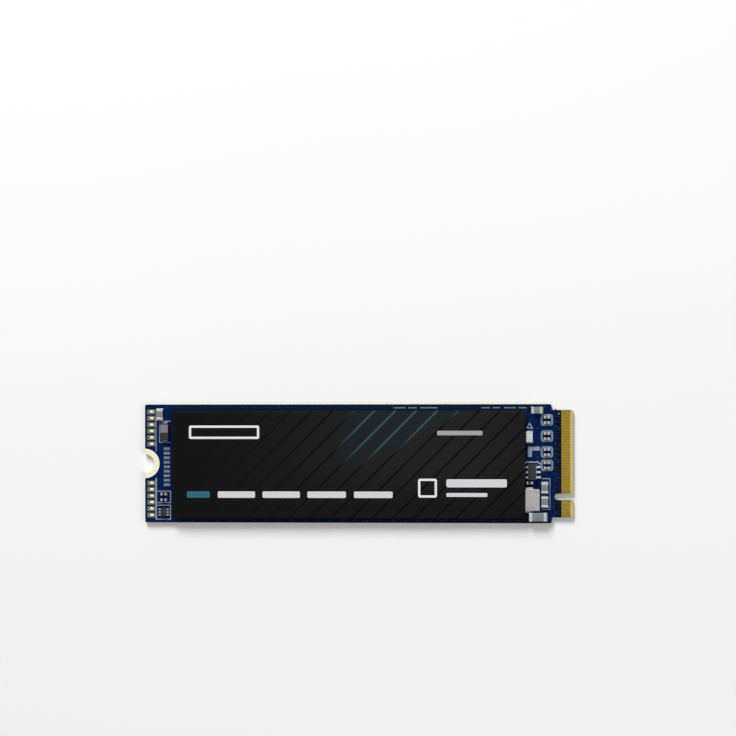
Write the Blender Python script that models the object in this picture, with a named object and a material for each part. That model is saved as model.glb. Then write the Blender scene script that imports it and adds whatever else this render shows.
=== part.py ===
"""A gumstick solid state drive: a 22 x 80 mm circuit board with an edge connector, its chips and its label.

It lies flat with its label up. X runs along the board towards the contacts, Y across it, Z up. The origin is
at the middle of the board's underside. Sizes are in metres.
"""

import math
from collections import namedtuple

import bmesh
import bpy
from mathutils import Matrix

MM = 0.001

# Edge connector, by the standard for this kind of card
CONTACT_PITCH = 0.5 * MM
CONTACT_WIDTH = 0.35 * MM
TOP_CONTACT_PLACES = 38
TOP_CONTACT_LENGTH = 2.15 * MM
BOTTOM_CONTACT_LENGTH = 2.5 * MM
TONGUE_SIDE_LAND = 0.5 * MM
TONGUE_LENGTH = 4.0 * MM
SHOULDER_STEP = 1.075 * MM
SHOULDER_FILLET = 0.3 * MM
KEY_OFFSET = 6.125 * MM
KEY_WIDTH = 1.2 * MM
KEY_DEPTH = 3.5 * MM
KEY_SIDE_LAND = 0.12 * MM
TIP_BEVEL_LENGTH = 0.6 * MM
TIP_BEVEL_ANGLE = math.radians(20)

# Board
BOARD_THICKNESS = 0.8 * MM
COPPER_RISE = 0.035 * MM
BOARD_CORNER_RADIUS = 0.3 * MM
NOTCH_RADIUS = 1.75 * MM
RING_PAD_RADIUS = 2.75 * MM
TEST_PAD_LENGTH = 1.55 * MM
TEST_PAD_WIDTH = 0.85 * MM
TEST_PAD_PITCH = 1.2 * MM
TEST_PAD_FROM_END = 0.43 * MM
TEST_PAD_FROM_RING = 0.47 * MM
EDGE_MARGIN = 0.5 * MM
LAND_MARGIN = 0.12 * MM
SOLDER_FILM = 0.02 * MM

# Free lengths along the board, from the screw end to the shoulders of the tongue
TAIL_LENGTH = 7.7 * MM
PACKAGE_GAP = 1.95 * MM
POWER_CHIP_SET_IN = 1.9 * MM
INDUCTOR_SPACING = 0.4 * MM
LABEL_PAST_INDUCTORS = 0.9 * MM
BARE_LENGTH = 4.8 * MM

# Packages on solder balls
BALL_HEIGHT = 0.25 * MM
FLASH_WIDTH = 12.0 * MM
FLASH_LENGTH = 18.0 * MM
FLASH_BODY_HEIGHT = 0.88 * MM
MEMORY_WIDTH = 7.5 * MM
MEMORY_LENGTH = 13.3 * MM
MEMORY_BODY_HEIGHT = 0.84 * MM
CARRIER_HEIGHT = 0.26 * MM
MOULD_INSET = 0.08 * MM
MOULD_CHAMFER = 0.06 * MM

# Controller: carrier, die and stamped lid
CONTROLLER_SIDE = 14.0 * MM
DIE_WIDTH = 7.2 * MM
DIE_LENGTH = 7.8 * MM
DIE_HEIGHT = 0.32 * MM
LID_SIDE = 13.2 * MM
LID_FLANGE = 1.3 * MM
LID_SHEET = 0.25 * MM
LID_WALL_SLOPE = 0.12 * MM
LID_CORNER_RADIUS = 0.6 * MM
GREASE_FILM = 0.02 * MM

# Chips with a terminal at each end, named by their trade sizes
ChipSize = namedtuple("ChipSize", "length width height terminal edge")
SIZE_0402 = ChipSize(length=1.0 * MM, width=0.5 * MM, height=0.5 * MM, terminal=0.25 * MM, edge=0.0)
SIZE_0603 = ChipSize(length=1.6 * MM, width=0.8 * MM, height=0.8 * MM, terminal=0.35 * MM, edge=0.05 * MM)
SIZE_0805 = ChipSize(length=2.0 * MM, width=1.25 * MM, height=0.85 * MM, terminal=0.45 * MM, edge=0.06 * MM)
SIZE_1206 = ChipSize(length=3.2 * MM, width=1.6 * MM, height=0.95 * MM, terminal=0.55 * MM, edge=0.06 * MM)
TERMINAL_RISE = 0.02 * MM

# Moulded blocks between two clips: the power inductors and the polarised capacitor
INPUT_INDUCTOR_SIDE = 4.0 * MM
INDUCTOR_SIDE = 3.0 * MM
INDUCTOR_HEIGHT = 1.1 * MM
INDUCTOR_CLIP_WIDTH = 1.6 * MM
POLARISED_WIDTH = 1.6 * MM
POLARISED_LENGTH = 3.1 * MM
POLARISED_HEIGHT = 1.0 * MM
POLARISED_CLIP_WIDTH = 1.1 * MM
BLOCK_CORNER = 0.2 * MM
BLOCK_EDGE = 0.1 * MM
CLIP_HEIGHT = 0.55 * MM
CLIP_RISE = 0.05 * MM

# Small leaded parts
LeadedSize = namedtuple("LeadedSize", "width length height span leads pitch lead_width lead_sheet foot")
SWITCH_SIZE = LeadedSize(
    width=1.6 * MM, length=2.9 * MM, height=1.0 * MM, span=2.8 * MM,
    leads=3, pitch=0.95 * MM, lead_width=0.4 * MM, lead_sheet=0.15 * MM, foot=0.4 * MM,
)
SENSOR_SIZE = LeadedSize(
    width=1.2 * MM, length=1.6 * MM, height=0.6 * MM, span=1.7 * MM,
    leads=3, pitch=0.5 * MM, lead_width=0.25 * MM, lead_sheet=0.12 * MM, foot=0.2 * MM,
)
LEAD_STANDOFF = 0.06 * MM
MOULD_DRAFT = 0.06 * MM

# Leadless chips with small terminals round their foot
LeadlessSize = namedtuple("LeadlessSize", "width length height columns rows pitch terminal")
POWER_CHIP_SIZE = LeadlessSize(
    width=4.0 * MM, length=4.0 * MM, height=0.85 * MM, columns=6, rows=6, pitch=0.5 * MM, terminal=0.25 * MM,
)
START_CHIP_SIZE = LeadlessSize(
    width=3.0 * MM, length=2.0 * MM, height=0.6 * MM, columns=4, rows=0, pitch=0.5 * MM, terminal=0.25 * MM,
)
FOOT_TERMINAL_HEIGHT = 0.2 * MM
FOOT_TERMINAL_RISE = 0.015 * MM

# Clock crystal in its metal-lidded case
CRYSTAL_LENGTH = 2.5 * MM
CRYSTAL_WIDTH = 2.0 * MM
CRYSTAL_BASE_HEIGHT = 0.35 * MM
CRYSTAL_LID_HEIGHT = 0.15 * MM
CRYSTAL_LID_INSET = 0.15 * MM
CRYSTAL_CORNER_RADIUS = 0.2 * MM

# Label
LABEL_THICKNESS = 0.12 * MM
LABEL_FILM = 0.02 * MM
LABEL_OVERHANG = 2.4 * MM
LABEL_TOP_MARGIN = 1.15 * MM
LABEL_BOTTOM_MARGIN = 0.9 * MM
LABEL_SAG = 0.05 * MM
LABEL_EDGE_DROOP = 0.12 * MM
LABEL_END_DROOP = 0.06 * MM
LABEL_LEAST_LIP = 0.4 * MM
LABEL_GAP_STEPS = 6
LABEL_EDGE_STEPS = 4

# Free space between neighbours, and places measured from the shoulders, the ends and the edges
PART_SPACING = 0.6 * MM
CLOSE_SPACING = 0.3 * MM
COUPLING_FROM_SHOULDER = 0.85 * MM
COUPLING_PAIR_PITCH = 1.0 * MM
COUPLING_PLACES = (8.1 * MM, 5.1 * MM, 2.15 * MM, -0.3 * MM)
INPUT_CAPACITOR_FROM_SHOULDER = 2.65 * MM
INPUT_CAPACITOR_FROM_EDGE = 0.48 * MM
FUSE_FROM_SHOULDER = 4.05 * MM
FUSE_ABOVE_SWITCH = 4.05 * MM
SWITCH_FROM_SHOULDER = 3.55 * MM
GATE_ABOVE_INDUCTOR = 0.85 * MM
INPUT_INDUCTOR_FROM_SHOULDER = 4.15 * MM
OUTPUT_PAIR_PITCH = 2.6 * MM
OUTPUT_PAIR_ABOVE_INDUCTOR = 0.95 * MM
BULK_FROM_SHOULDER = 2.5 * MM
BULK_FROM_EDGE = 0.35 * MM
SMALL_INDUCTOR_PLACES = (4.6 * MM, 0.2 * MM)
START_CHIP_SET_IN = 0.5 * MM
START_CHIP_BELOW = 1.8 * MM
CRYSTAL_SET_IN = 0.35 * MM
CRYSTAL_ABOVE = 2.2 * MM
CRYSTAL_PAIR_PITCH = 1.2 * MM
TAIL_CAPACITOR_FROM_END = 2.85 * MM
TAIL_CAPACITOR_FROM_EDGE = 0.85 * MM
POLARISED_FROM_END = 3.75 * MM
TAIL_PAIR_FROM_END = 3.55 * MM
TAIL_PAIR_PITCH = 1.1 * MM
TAIL_PAIR_ABOVE_SENSOR = 1.22 * MM
SENSOR_FROM_END = 3.55 * MM
SENSOR_FROM_EDGE = 1.13 * MM
TAIL_COLUMN_FROM_PACKAGE = 1.3 * MM
DECOUPLING_SET_IN = 1.7 * MM

# How finely round forms are stepped, how far cutters run past, and where an edge starts to look sharp
ARC_STEPS = 16
CORNER_STEPS = 3
OVERSHOOT = 1.0 * MM
SHARP_ANGLE = math.radians(25)

# Worked out from the sizes above
TONGUE_WIDTH = (TOP_CONTACT_PLACES - 1) * CONTACT_PITCH + CONTACT_WIDTH + 2 * TONGUE_SIDE_LAND
BOARD_WIDTH = TONGUE_WIDTH + 2 * SHOULDER_STEP
PACKAGES_LENGTH = 2 * FLASH_WIDTH + MEMORY_WIDTH + CONTROLLER_SIDE + 4 * PACKAGE_GAP
POWER_PARTS_LENGTH = POWER_CHIP_SIZE.width + INDUCTOR_SPACING + INDUCTOR_SIDE
POWER_LENGTH = POWER_CHIP_SET_IN + POWER_PARTS_LENGTH + LABEL_PAST_INDUCTORS
BOARD_LENGTH = TAIL_LENGTH + PACKAGES_LENGTH + POWER_LENGTH + BARE_LENGTH + TONGUE_LENGTH
SCREW_END = -BOARD_LENGTH / 2
CONTACT_END = BOARD_LENGTH / 2
SHOULDER = CONTACT_END - TONGUE_LENGTH
TOP_EDGE = BOARD_WIDTH / 2
BOTTOM_EDGE = -BOARD_WIDTH / 2
BOARD_TOP = BOARD_THICKNESS - COPPER_RISE
SEAT = BOARD_THICKNESS + SOLDER_FILM
PACKAGE_FOOT = BOARD_THICKNESS + BALL_HEIGHT

FLASH_1_X = SCREW_END + TAIL_LENGTH + FLASH_WIDTH / 2
FLASH_2_X = FLASH_1_X + FLASH_WIDTH + PACKAGE_GAP
MEMORY_X = FLASH_2_X + FLASH_WIDTH / 2 + PACKAGE_GAP + MEMORY_WIDTH / 2
CONTROLLER_X = MEMORY_X + MEMORY_WIDTH / 2 + PACKAGE_GAP + CONTROLLER_SIDE / 2
POWER_START = CONTROLLER_X + CONTROLLER_SIDE / 2 + PACKAGE_GAP
POWER_CHIP_X = POWER_START + POWER_CHIP_SET_IN + POWER_CHIP_SIZE.width / 2
INDUCTORS_X = POWER_CHIP_X + POWER_CHIP_SIZE.width / 2 + INDUCTOR_SPACING + INDUCTOR_SIDE / 2
LABEL_STOP = SHOULDER - BARE_LENGTH

# Stacked upwards from the board's lower edge
BULK_Y = BOTTOM_EDGE + BULK_FROM_EDGE + SIZE_1206.width / 2
INPUT_INDUCTOR_X = SHOULDER - INPUT_INDUCTOR_FROM_SHOULDER
INPUT_INDUCTOR_Y = BULK_Y + SIZE_1206.width / 2 + CLOSE_SPACING + CLIP_RISE + INPUT_INDUCTOR_SIDE / 2
GATE_Y = INPUT_INDUCTOR_Y + INPUT_INDUCTOR_SIDE / 2 + CLIP_RISE + GATE_ABOVE_INDUCTOR + SIZE_0402.width / 2
SWITCH_Y = GATE_Y + SIZE_0402.width / 2 + CLOSE_SPACING + SWITCH_SIZE.length / 2
SENSOR_X = SCREW_END + SENSOR_FROM_END
SENSOR_Y = BOTTOM_EDGE + SENSOR_FROM_EDGE + SENSOR_SIZE.length / 2

# Stacked both ways from the power chip
POWER_CAPACITOR_OFFSET = POWER_CHIP_SIZE.length / 2 + PART_SPACING + SIZE_0603.width / 2
CRYSTAL_X = POWER_START + CRYSTAL_SET_IN + CRYSTAL_LENGTH / 2
CRYSTAL_Y = POWER_CAPACITOR_OFFSET + SIZE_0603.width / 2 + CRYSTAL_ABOVE + CRYSTAL_WIDTH / 2
START_CHIP_X = POWER_START + START_CHIP_SET_IN + START_CHIP_SIZE.width / 2
START_CHIP_Y = -POWER_CAPACITOR_OFFSET - SIZE_0603.width / 2 - START_CHIP_BELOW - START_CHIP_SIZE.length / 2

Chip = namedtuple("Chip", "name size x y upright kind")


def clear_scene():
    for old in list(bpy.data.objects):
        bpy.data.objects.remove(old, do_unlink=True)


def make_material(name, colour, roughness, metallic=0.0):
    material = bpy.data.materials.new(name)
    material.use_nodes = True
    shader = material.node_tree.nodes["Principled BSDF"]
    shader.inputs["Base Color"].default_value = (*colour, 1.0)
    shader.inputs["Roughness"].default_value = roughness
    shader.inputs["Metallic"].default_value = metallic
    material.diffuse_color = (*colour, 1.0)
    return material


def rectangle(length, width, corner=0.0, steps=1):
    """Points of a rectangle about the origin, anticlockwise. One step cuts its corners, more round them."""
    if corner <= 0:
        x = length / 2
        y = width / 2
        return [(x, y), (-x, y), (-x, -y), (x, -y)]
    points = []
    for side_x, side_y, start in ((1, 1, 0), (-1, 1, 90), (-1, -1, 180), (1, -1, 270)):
        centre_x = side_x * (length / 2 - corner)
        centre_y = side_y * (width / 2 - corner)
        for step in range(steps + 1):
            angle = math.radians(start + 90 * step / steps)
            points.append((centre_x + corner * math.cos(angle), centre_y + corner * math.sin(angle)))
    return points


def arc(centre_x, centre_y, radius, start, end, steps):
    """Points along an arc, with its angles in degrees."""
    points = []
    for step in range(steps + 1):
        angle = math.radians(start + (end - start) * step / steps)
        points.append((centre_x + radius * math.cos(angle), centre_y + radius * math.sin(angle)))
    return points


def stacked_mesh(name, layers, materials, band_materials=None):
    """A closed mesh through level outlines of equal point count, each given as (outline, height)."""
    count = len(layers[0][0])
    points = [(x, y, z) for outline, z in layers for x, y in outline]
    faces = [tuple(reversed(range(count)))]
    for band in range(len(layers) - 1):
        low = band * count
        for i in range(count):
            j = (i + 1) % count
            faces.append((low + i, low + j, low + count + j, low + count + i))
    faces.append(tuple(range(len(points) - count, len(points))))
    mesh = bpy.data.meshes.new(name)
    mesh.from_pydata(points, [], faces)
    for material in materials:
        mesh.materials.append(material)
    if band_materials:
        per_face = [band_materials[0]]
        per_face += [index for index in band_materials for _ in range(count)]
        per_face.append(band_materials[-1])
        for polygon, index in zip(mesh.polygons, per_face):
            polygon.material_index = index
    shade_round_faces(mesh)
    return mesh


def shade_round_faces(mesh):
    mesh.shade_smooth()
    mesh.set_sharp_from_angle(angle=SHARP_ANGLE)


def block_mesh(name, low, high, material):
    """A plain block between two corners."""
    middle = [(a + b) / 2 for a, b in zip(low, high)]
    outline = [(x + middle[0], y + middle[1]) for x, y in rectangle(high[0] - low[0], high[1] - low[1])]
    return stacked_mesh(name, [(outline, low[2]), (outline, high[2])], [material])


def joined_mesh(name, meshes, material):
    """Several meshes as one, each still a body of its own, for a Boolean to add or cut."""
    whole = bmesh.new()
    for mesh in meshes:
        whole.from_mesh(mesh)
        bpy.data.meshes.remove(mesh)
    joined = bpy.data.meshes.new(name)
    whole.to_mesh(joined)
    whole.free()
    joined.materials.append(material)
    return joined


def place(name, mesh, location=(0, 0, 0), quarter_turns=0):
    obj = bpy.data.objects.new(name, mesh)
    obj.location = location
    obj.rotation_euler = (0, 0, quarter_turns * math.pi / 2)
    bpy.context.scene.collection.objects.link(obj)
    return obj


def combine(obj, tool_mesh, operation):
    """Adds a Boolean that joins, cuts or keeps what the tool's mesh covers."""
    tool = place(tool_mesh.name, tool_mesh, obj.location)
    tool.rotation_euler = obj.rotation_euler
    tool.hide_render = True
    tool.display_type = "WIRE"
    modifier = obj.modifiers.new(tool_mesh.name, "BOOLEAN")
    modifier.operation = operation
    modifier.object = tool
    modifier.solver = "EXACT"
    modifier.material_mode = "TRANSFER"
    return tool


def contact_places(first, count):
    """Distances across the board of one side's contacts, leaving out those on or beside the key notch."""
    clear = KEY_WIDTH / 2 + CONTACT_WIDTH / 2 + KEY_SIDE_LAND
    places = [first - i * CONTACT_PITCH for i in range(count)]
    return [y for y in places if abs(y + KEY_OFFSET) > clear]


def top_contacts():
    return contact_places((TOP_CONTACT_PLACES - 1) / 2 * CONTACT_PITCH, TOP_CONTACT_PLACES)


def bottom_contacts():
    """The underside's contacts lie half a pitch aside, so that one fewer fits."""
    return contact_places((TOP_CONTACT_PLACES - 2) / 2 * CONTACT_PITCH, TOP_CONTACT_PLACES - 1)


def board_outline():
    """The board from above, anticlockwise from its lower screw-end corner."""
    tongue = TONGUE_WIDTH / 2
    slot_end = CONTACT_END - KEY_DEPTH + KEY_WIDTH / 2
    r = BOARD_CORNER_RADIUS
    f = SHOULDER_FILLET
    points = arc(SCREW_END + r, BOTTOM_EDGE + r, r, 180, 270, CORNER_STEPS)
    points += arc(SHOULDER - r, BOTTOM_EDGE + r, r, 270, 360, CORNER_STEPS)
    points += arc(SHOULDER + f, -tongue - f, f, 180, 90, CORNER_STEPS)
    points += arc(CONTACT_END - r, -tongue + r, r, 270, 360, CORNER_STEPS)
    points.append((CONTACT_END, -KEY_OFFSET - KEY_WIDTH / 2))
    points += arc(slot_end, -KEY_OFFSET, KEY_WIDTH / 2, 270, 90, ARC_STEPS // 2)
    points.append((CONTACT_END, -KEY_OFFSET + KEY_WIDTH / 2))
    points += arc(CONTACT_END - r, tongue - r, r, 0, 90, CORNER_STEPS)
    points += arc(SHOULDER + f, tongue + f, f, 270, 180, CORNER_STEPS)
    points += arc(SHOULDER - r, TOP_EDGE - r, r, 0, 90, CORNER_STEPS)
    points += arc(SCREW_END + r, TOP_EDGE - r, r, 90, 180, CORNER_STEPS)
    points += arc(SCREW_END, 0, NOTCH_RADIUS, 90, -90, ARC_STEPS)
    return points


def contact_blocks(gold):
    """Every contact of both faces, running past the tip so that the outline trims it."""
    half = CONTACT_WIDTH / 2
    middle = BOARD_THICKNESS / 2
    blocks = []
    for y in top_contacts():
        low = (CONTACT_END - TOP_CONTACT_LENGTH, y - half, middle + COPPER_RISE)
        high = (CONTACT_END + OVERSHOOT, y + half, BOARD_THICKNESS)
        blocks.append(block_mesh("contact", low, high, gold))
    for y in bottom_contacts():
        low = (CONTACT_END - BOTTOM_CONTACT_LENGTH, y - half, 0)
        high = (CONTACT_END + OVERSHOOT, y + half, middle - COPPER_RISE)
        blocks.append(block_mesh("contact", low, high, gold))
    return blocks


def ring_pads(gold):
    """The gilded disc round the screw notch, on both faces."""
    disc = arc(SCREW_END, 0, RING_PAD_RADIUS, 0, 360 - 360 / (2 * ARC_STEPS), 2 * ARC_STEPS - 1)
    return [stacked_mesh("ring pad", [(disc, 0), (disc, BOARD_THICKNESS)], [gold])]


def test_pads(gold):
    """Columns of small pads beside the screw notch, as many as the board's width takes."""
    first = RING_PAD_RADIUS + TEST_PAD_FROM_RING + TEST_PAD_WIDTH / 2
    last = TOP_EDGE - EDGE_MARGIN - TEST_PAD_WIDTH / 2
    count = int((last - first) / TEST_PAD_PITCH) + 1
    left = SCREW_END + TEST_PAD_FROM_END
    pads = []
    for i in range(count):
        for side in (1, -1):
            y = side * (first + i * TEST_PAD_PITCH)
            low = (left, y - TEST_PAD_WIDTH / 2, BOARD_THICKNESS / 2)
            high = (left + TEST_PAD_LENGTH, y + TEST_PAD_WIDTH / 2, BOARD_THICKNESS)
            pads.append(block_mesh("test pad", low, high, gold))
    return pads


def chip_lands(chip, gold):
    """The two copper lands that a chip is soldered to, a little longer and wider than its terminals."""
    size = chip.size
    lands = []
    for side in (1, -1):
        inner = size.length / 2 - size.terminal
        outer = size.length / 2 + LAND_MARGIN
        along = sorted((side * inner, side * outer))
        across = (-size.width / 2, size.width / 2)
        spans = (across, along) if chip.upright else (along, across)
        low = (chip.x + spans[0][0], chip.y + spans[1][0], BOARD_THICKNESS / 2)
        high = (chip.x + spans[0][1], chip.y + spans[1][1], BOARD_THICKNESS)
        lands.append(block_mesh("land", low, high, gold))
    return lands


def tip_bevels(laminate):
    """Wedges that cut both faces of the card's tip to the same slope."""
    drop = TIP_BEVEL_LENGTH * math.tan(TIP_BEVEL_ANGLE)
    reach = TIP_BEVEL_LENGTH + OVERSHOOT
    fall = reach * math.tan(TIP_BEVEL_ANGLE)
    start = CONTACT_END - TIP_BEVEL_LENGTH
    end = CONTACT_END + OVERSHOOT
    across = TONGUE_WIDTH / 2 + OVERSHOOT
    wedges = []
    for face, way in ((BOARD_THICKNESS, 1), (0.0, -1)):
        clear = face + way * drop
        profile = [(start, face), (end, face - way * fall), (end, clear), (start, clear)]
        if way < 0:
            profile.reverse()
        mesh = stacked_mesh("bevel", [(profile, -across), (profile, across)], [laminate])
        mesh.transform(Matrix.Rotation(math.pi / 2, 4, "X"))
        wedges.append(mesh)
    return wedges


def make_circuit_board(chips, mask, gold, laminate):
    """Slab with raised copper, then the outline and its notches, then the bevelled tip."""
    slab = block_mesh(
        "circuit_board",
        (SCREW_END - OVERSHOOT, BOTTOM_EDGE - OVERSHOOT, COPPER_RISE),
        (CONTACT_END + OVERSHOOT, TOP_EDGE + OVERSHOOT, BOARD_TOP),
        mask,
    )
    board = place("circuit_board", slab)
    copper = contact_blocks(gold) + ring_pads(gold) + test_pads(gold)
    for chip in chips:
        copper += chip_lands(chip, gold)
    combine(board, joined_mesh("raised_copper", copper, gold), "UNION")
    outline = board_outline()
    layers = [(outline, -OVERSHOOT), (outline, BOARD_THICKNESS + OVERSHOOT)]
    combine(board, stacked_mesh("board_outline", layers, [laminate]), "INTERSECT")
    combine(board, joined_mesh("tip_bevels", tip_bevels(laminate), laminate), "DIFFERENCE")
    return board


def chip_mesh(size, body, metal):
    """A chip lying along X: a body with a slightly larger metal cap at each end. Its edges may be eased."""
    rise = TERMINAL_RISE
    edge = size.edge
    cap = rectangle(size.height, size.width, edge)
    core = rectangle(size.height - 2 * rise, size.width - 2 * rise, edge)
    half = size.length / 2
    inner = half - size.terminal
    layers = [
        (cap, edge - half), (cap, -inner), (core, -inner),
        (core, inner), (cap, inner), (cap, half - edge),
    ]
    bands = [1, 1, 0, 1, 1]
    if edge > 0:
        end = rectangle(size.height - 2 * edge, size.width - 2 * edge, edge / 2)
        layers = [(end, -half)] + layers + [(end, half)]
        bands = [1] + bands + [1]
    mesh = stacked_mesh("chip", layers, [body, metal], bands)
    mesh.transform(Matrix.Rotation(math.pi / 2, 4, "Y"))
    mesh.transform(Matrix.Translation((0, 0, size.height / 2)))
    return mesh


def make_chips(chips, bodies, metal):
    """One object for each chip. Chips of one size and kind share a mesh."""
    shared = {}
    for chip in chips:
        key = (chip.size, chip.kind)
        if key not in shared:
            shared[key] = chip_mesh(chip.size, bodies[chip.kind], metal)
        place(chip.name, shared[key], (chip.x, chip.y, SEAT), 1 if chip.upright else 0)


def make_package(name, x, width, length, body_height, mould, carrier):
    """A memory package: thin carrier, and a moulded cap whose sides lean in and whose edge is eased."""
    inset = 2 * MOULD_INSET
    eased = inset + 2 * MOULD_CHAMFER
    foot = rectangle(width, length)
    cap = rectangle(width - inset, length - inset)
    top = rectangle(width - eased, length - eased)
    layers = [
        (foot, 0), (foot, CARRIER_HEIGHT), (cap, CARRIER_HEIGHT),
        (cap, body_height - MOULD_CHAMFER), (top, body_height),
    ]
    mesh = stacked_mesh(name, layers, [carrier, mould], [0, 0, 1, 1])
    return place(name, mesh, (x, 0, PACKAGE_FOOT))


def make_controller(mould, silicon, nickel):
    """The carrier, the bare die on it and the stamped lid over the die."""
    carrier = rectangle(CONTROLLER_SIDE, CONTROLLER_SIDE)
    mesh = stacked_mesh("controller", [(carrier, 0), (carrier, CARRIER_HEIGHT)], [mould])
    place("controller", mesh, (CONTROLLER_X, 0, PACKAGE_FOOT))

    die_foot = PACKAGE_FOOT + CARRIER_HEIGHT + SOLDER_FILM
    die = rectangle(DIE_WIDTH, DIE_LENGTH)
    mesh = stacked_mesh("controller_die", [(die, 0), (die, DIE_HEIGHT)], [silicon])
    place("controller_die", mesh, (CONTROLLER_X, 0, die_foot))

    inner = LID_SIDE - 2 * LID_FLANGE
    hollow = rectangle(inner, inner, LID_CORNER_RADIUS, CORNER_STEPS)
    flange = rectangle(LID_SIDE, LID_SIDE, LID_CORNER_RADIUS, CORNER_STEPS)
    riser = rectangle(inner + 2 * LID_SHEET, inner + 2 * LID_SHEET, LID_CORNER_RADIUS, CORNER_STEPS)
    narrow = inner + 2 * LID_SHEET - 2 * LID_WALL_SLOPE
    plateau = rectangle(narrow, narrow, LID_CORNER_RADIUS, CORNER_STEPS)
    ceiling = DIE_HEIGHT + GREASE_FILM
    layers = [
        (hollow, ceiling), (hollow, 0), (flange, 0), (flange, LID_SHEET),
        (riser, LID_SHEET), (plateau, ceiling + LID_SHEET),
    ]
    mesh = stacked_mesh("controller_lid", layers, [nickel])
    place("controller_lid", mesh, (CONTROLLER_X, 0, die_foot))


def controller_top():
    return PACKAGE_FOOT + CARRIER_HEIGHT + SOLDER_FILM + DIE_HEIGHT + GREASE_FILM + LID_SHEET


def make_clipped_block(name, width, length, height, clip_width, x, y, compound, metal):
    """A moulded block with cut corners, and a bent metal clip at each end of its length."""
    foot = rectangle(width, length, BLOCK_CORNER)
    top = rectangle(width - 2 * BLOCK_EDGE, length - 2 * BLOCK_EDGE, BLOCK_CORNER)
    layers = [(foot, 0), (foot, height - BLOCK_EDGE), (top, height)]
    block = place(name, stacked_mesh(name, layers, [compound]), (x, y, SEAT))
    inner = length / 2 - BLOCK_CORNER
    outer = length / 2 + CLIP_RISE
    half = clip_width / 2
    clips = [
        block_mesh("clip", (-half, inner, CLIP_RISE), (half, outer, CLIP_HEIGHT), metal),
        block_mesh("clip", (-half, -outer, CLIP_RISE), (half, -inner, CLIP_HEIGHT), metal),
    ]
    combine(block, joined_mesh(name + "_clips", clips, metal), "UNION")


def make_inductor(name, side, x, y, compound, metal):
    make_clipped_block(name, side, side, INDUCTOR_HEIGHT, INDUCTOR_CLIP_WIDTH, x, y, compound, metal)


def make_polarised_capacitor(compound, metal):
    """The longer capacitor below the tail capacitor at the screw end."""
    top = TOP_EDGE - TAIL_CAPACITOR_FROM_EDGE - SIZE_0805.length - PART_SPACING - CLIP_RISE
    make_clipped_block(
        "polarised_capacitor", POLARISED_WIDTH, POLARISED_LENGTH, POLARISED_HEIGHT, POLARISED_CLIP_WIDTH,
        SCREW_END + POLARISED_FROM_END, top - POLARISED_LENGTH / 2, compound, metal,
    )


def lead_profile(size):
    """One bent lead from the side: out of the body, down its side and out along the board."""
    sheet = size.lead_sheet
    tip = size.span / 2
    heel = tip - size.foot
    inside = size.width / 2 - 2 * MOULD_DRAFT - sheet
    outer = heel + sheet / 2
    inner = heel - sheet / 2
    over = (size.height + sheet) / 2
    under = (size.height - sheet) / 2
    return [
        (tip, 0), (tip, sheet), (outer, sheet), (outer, over),
        (inside, over), (inside, under), (inner, under), (inner, 0),
    ]


def make_leaded_part(name, size, x, y, mould, metal):
    """A moulded body between two rows of bent leads."""
    draft = 2 * MOULD_DRAFT
    level = size.height / 2
    waist = rectangle(size.width, size.length)
    face = rectangle(size.width - draft, size.length - draft)
    layers = [(face, LEAD_STANDOFF), (waist, level), (face, size.height)]
    part = place(name, stacked_mesh(name, layers, [mould]), (x, y, SEAT))
    profile = lead_profile(size)
    half_lead = size.lead_width / 2
    leads = []
    for side in (0, math.pi):
        for i in range(size.leads):
            across = (i - (size.leads - 1) / 2) * size.pitch
            mesh = stacked_mesh("lead", [(profile, -half_lead), (profile, half_lead)], [metal])
            mesh.transform(Matrix.Rotation(math.pi / 2, 4, "X"))
            mesh.transform(Matrix.Translation((0, across, 0)))
            mesh.transform(Matrix.Rotation(side, 4, "Z"))
            leads.append(mesh)
    combine(part, joined_mesh(name + "_leads", leads, metal), "UNION")


def foot_terminals(size, metal):
    """Small terminals let into the foot of a leadless body: columns at its ends, rows at its sides."""
    half = size.terminal / 2
    depth = 2 * FOOT_TERMINAL_HEIGHT
    terminals = []
    for count, span, quarter_turns in ((size.columns, size.length, 0), (size.rows, size.width, 1)):
        outer = span / 2 + FOOT_TERMINAL_RISE
        for side in (1, -1):
            ends = sorted((side * outer, side * (outer - depth)))
            for i in range(count):
                along = (i - (count - 1) / 2) * size.pitch
                low = (along - half, ends[0], FOOT_TERMINAL_RISE)
                high = (along + half, ends[1], FOOT_TERMINAL_HEIGHT)
                mesh = block_mesh("terminal", low, high, metal)
                mesh.transform(Matrix.Rotation(quarter_turns * math.pi / 2, 4, "Z"))
                terminals.append(mesh)
    return terminals


def make_leadless_part(name, size, x, y, mould, metal):
    """A moulded body with small terminals let into the foot of its sides."""
    body = rectangle(size.width, size.length)
    part = place(name, stacked_mesh(name, [(body, 0), (body, size.height)], [mould]), (x, y, SEAT))
    combine(part, joined_mesh(name + "_terminals", foot_terminals(size, metal), metal), "UNION")


def make_crystal(x, y, ceramic, metal):
    """A ceramic case with a metal lid set in from its edge."""
    base = rectangle(CRYSTAL_LENGTH, CRYSTAL_WIDTH, CRYSTAL_CORNER_RADIUS, CORNER_STEPS)
    inset = 2 * CRYSTAL_LID_INSET
    lid = rectangle(CRYSTAL_LENGTH - inset, CRYSTAL_WIDTH - inset, CRYSTAL_CORNER_RADIUS, CORNER_STEPS)
    rim = CRYSTAL_BASE_HEIGHT
    layers = [(base, 0), (base, rim), (lid, rim), (lid, rim + CRYSTAL_LID_HEIGHT)]
    mesh = stacked_mesh("clock_crystal", layers, [ceramic, metal], [0, 0, 1])
    place("clock_crystal", mesh, (x, y, SEAT))


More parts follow.
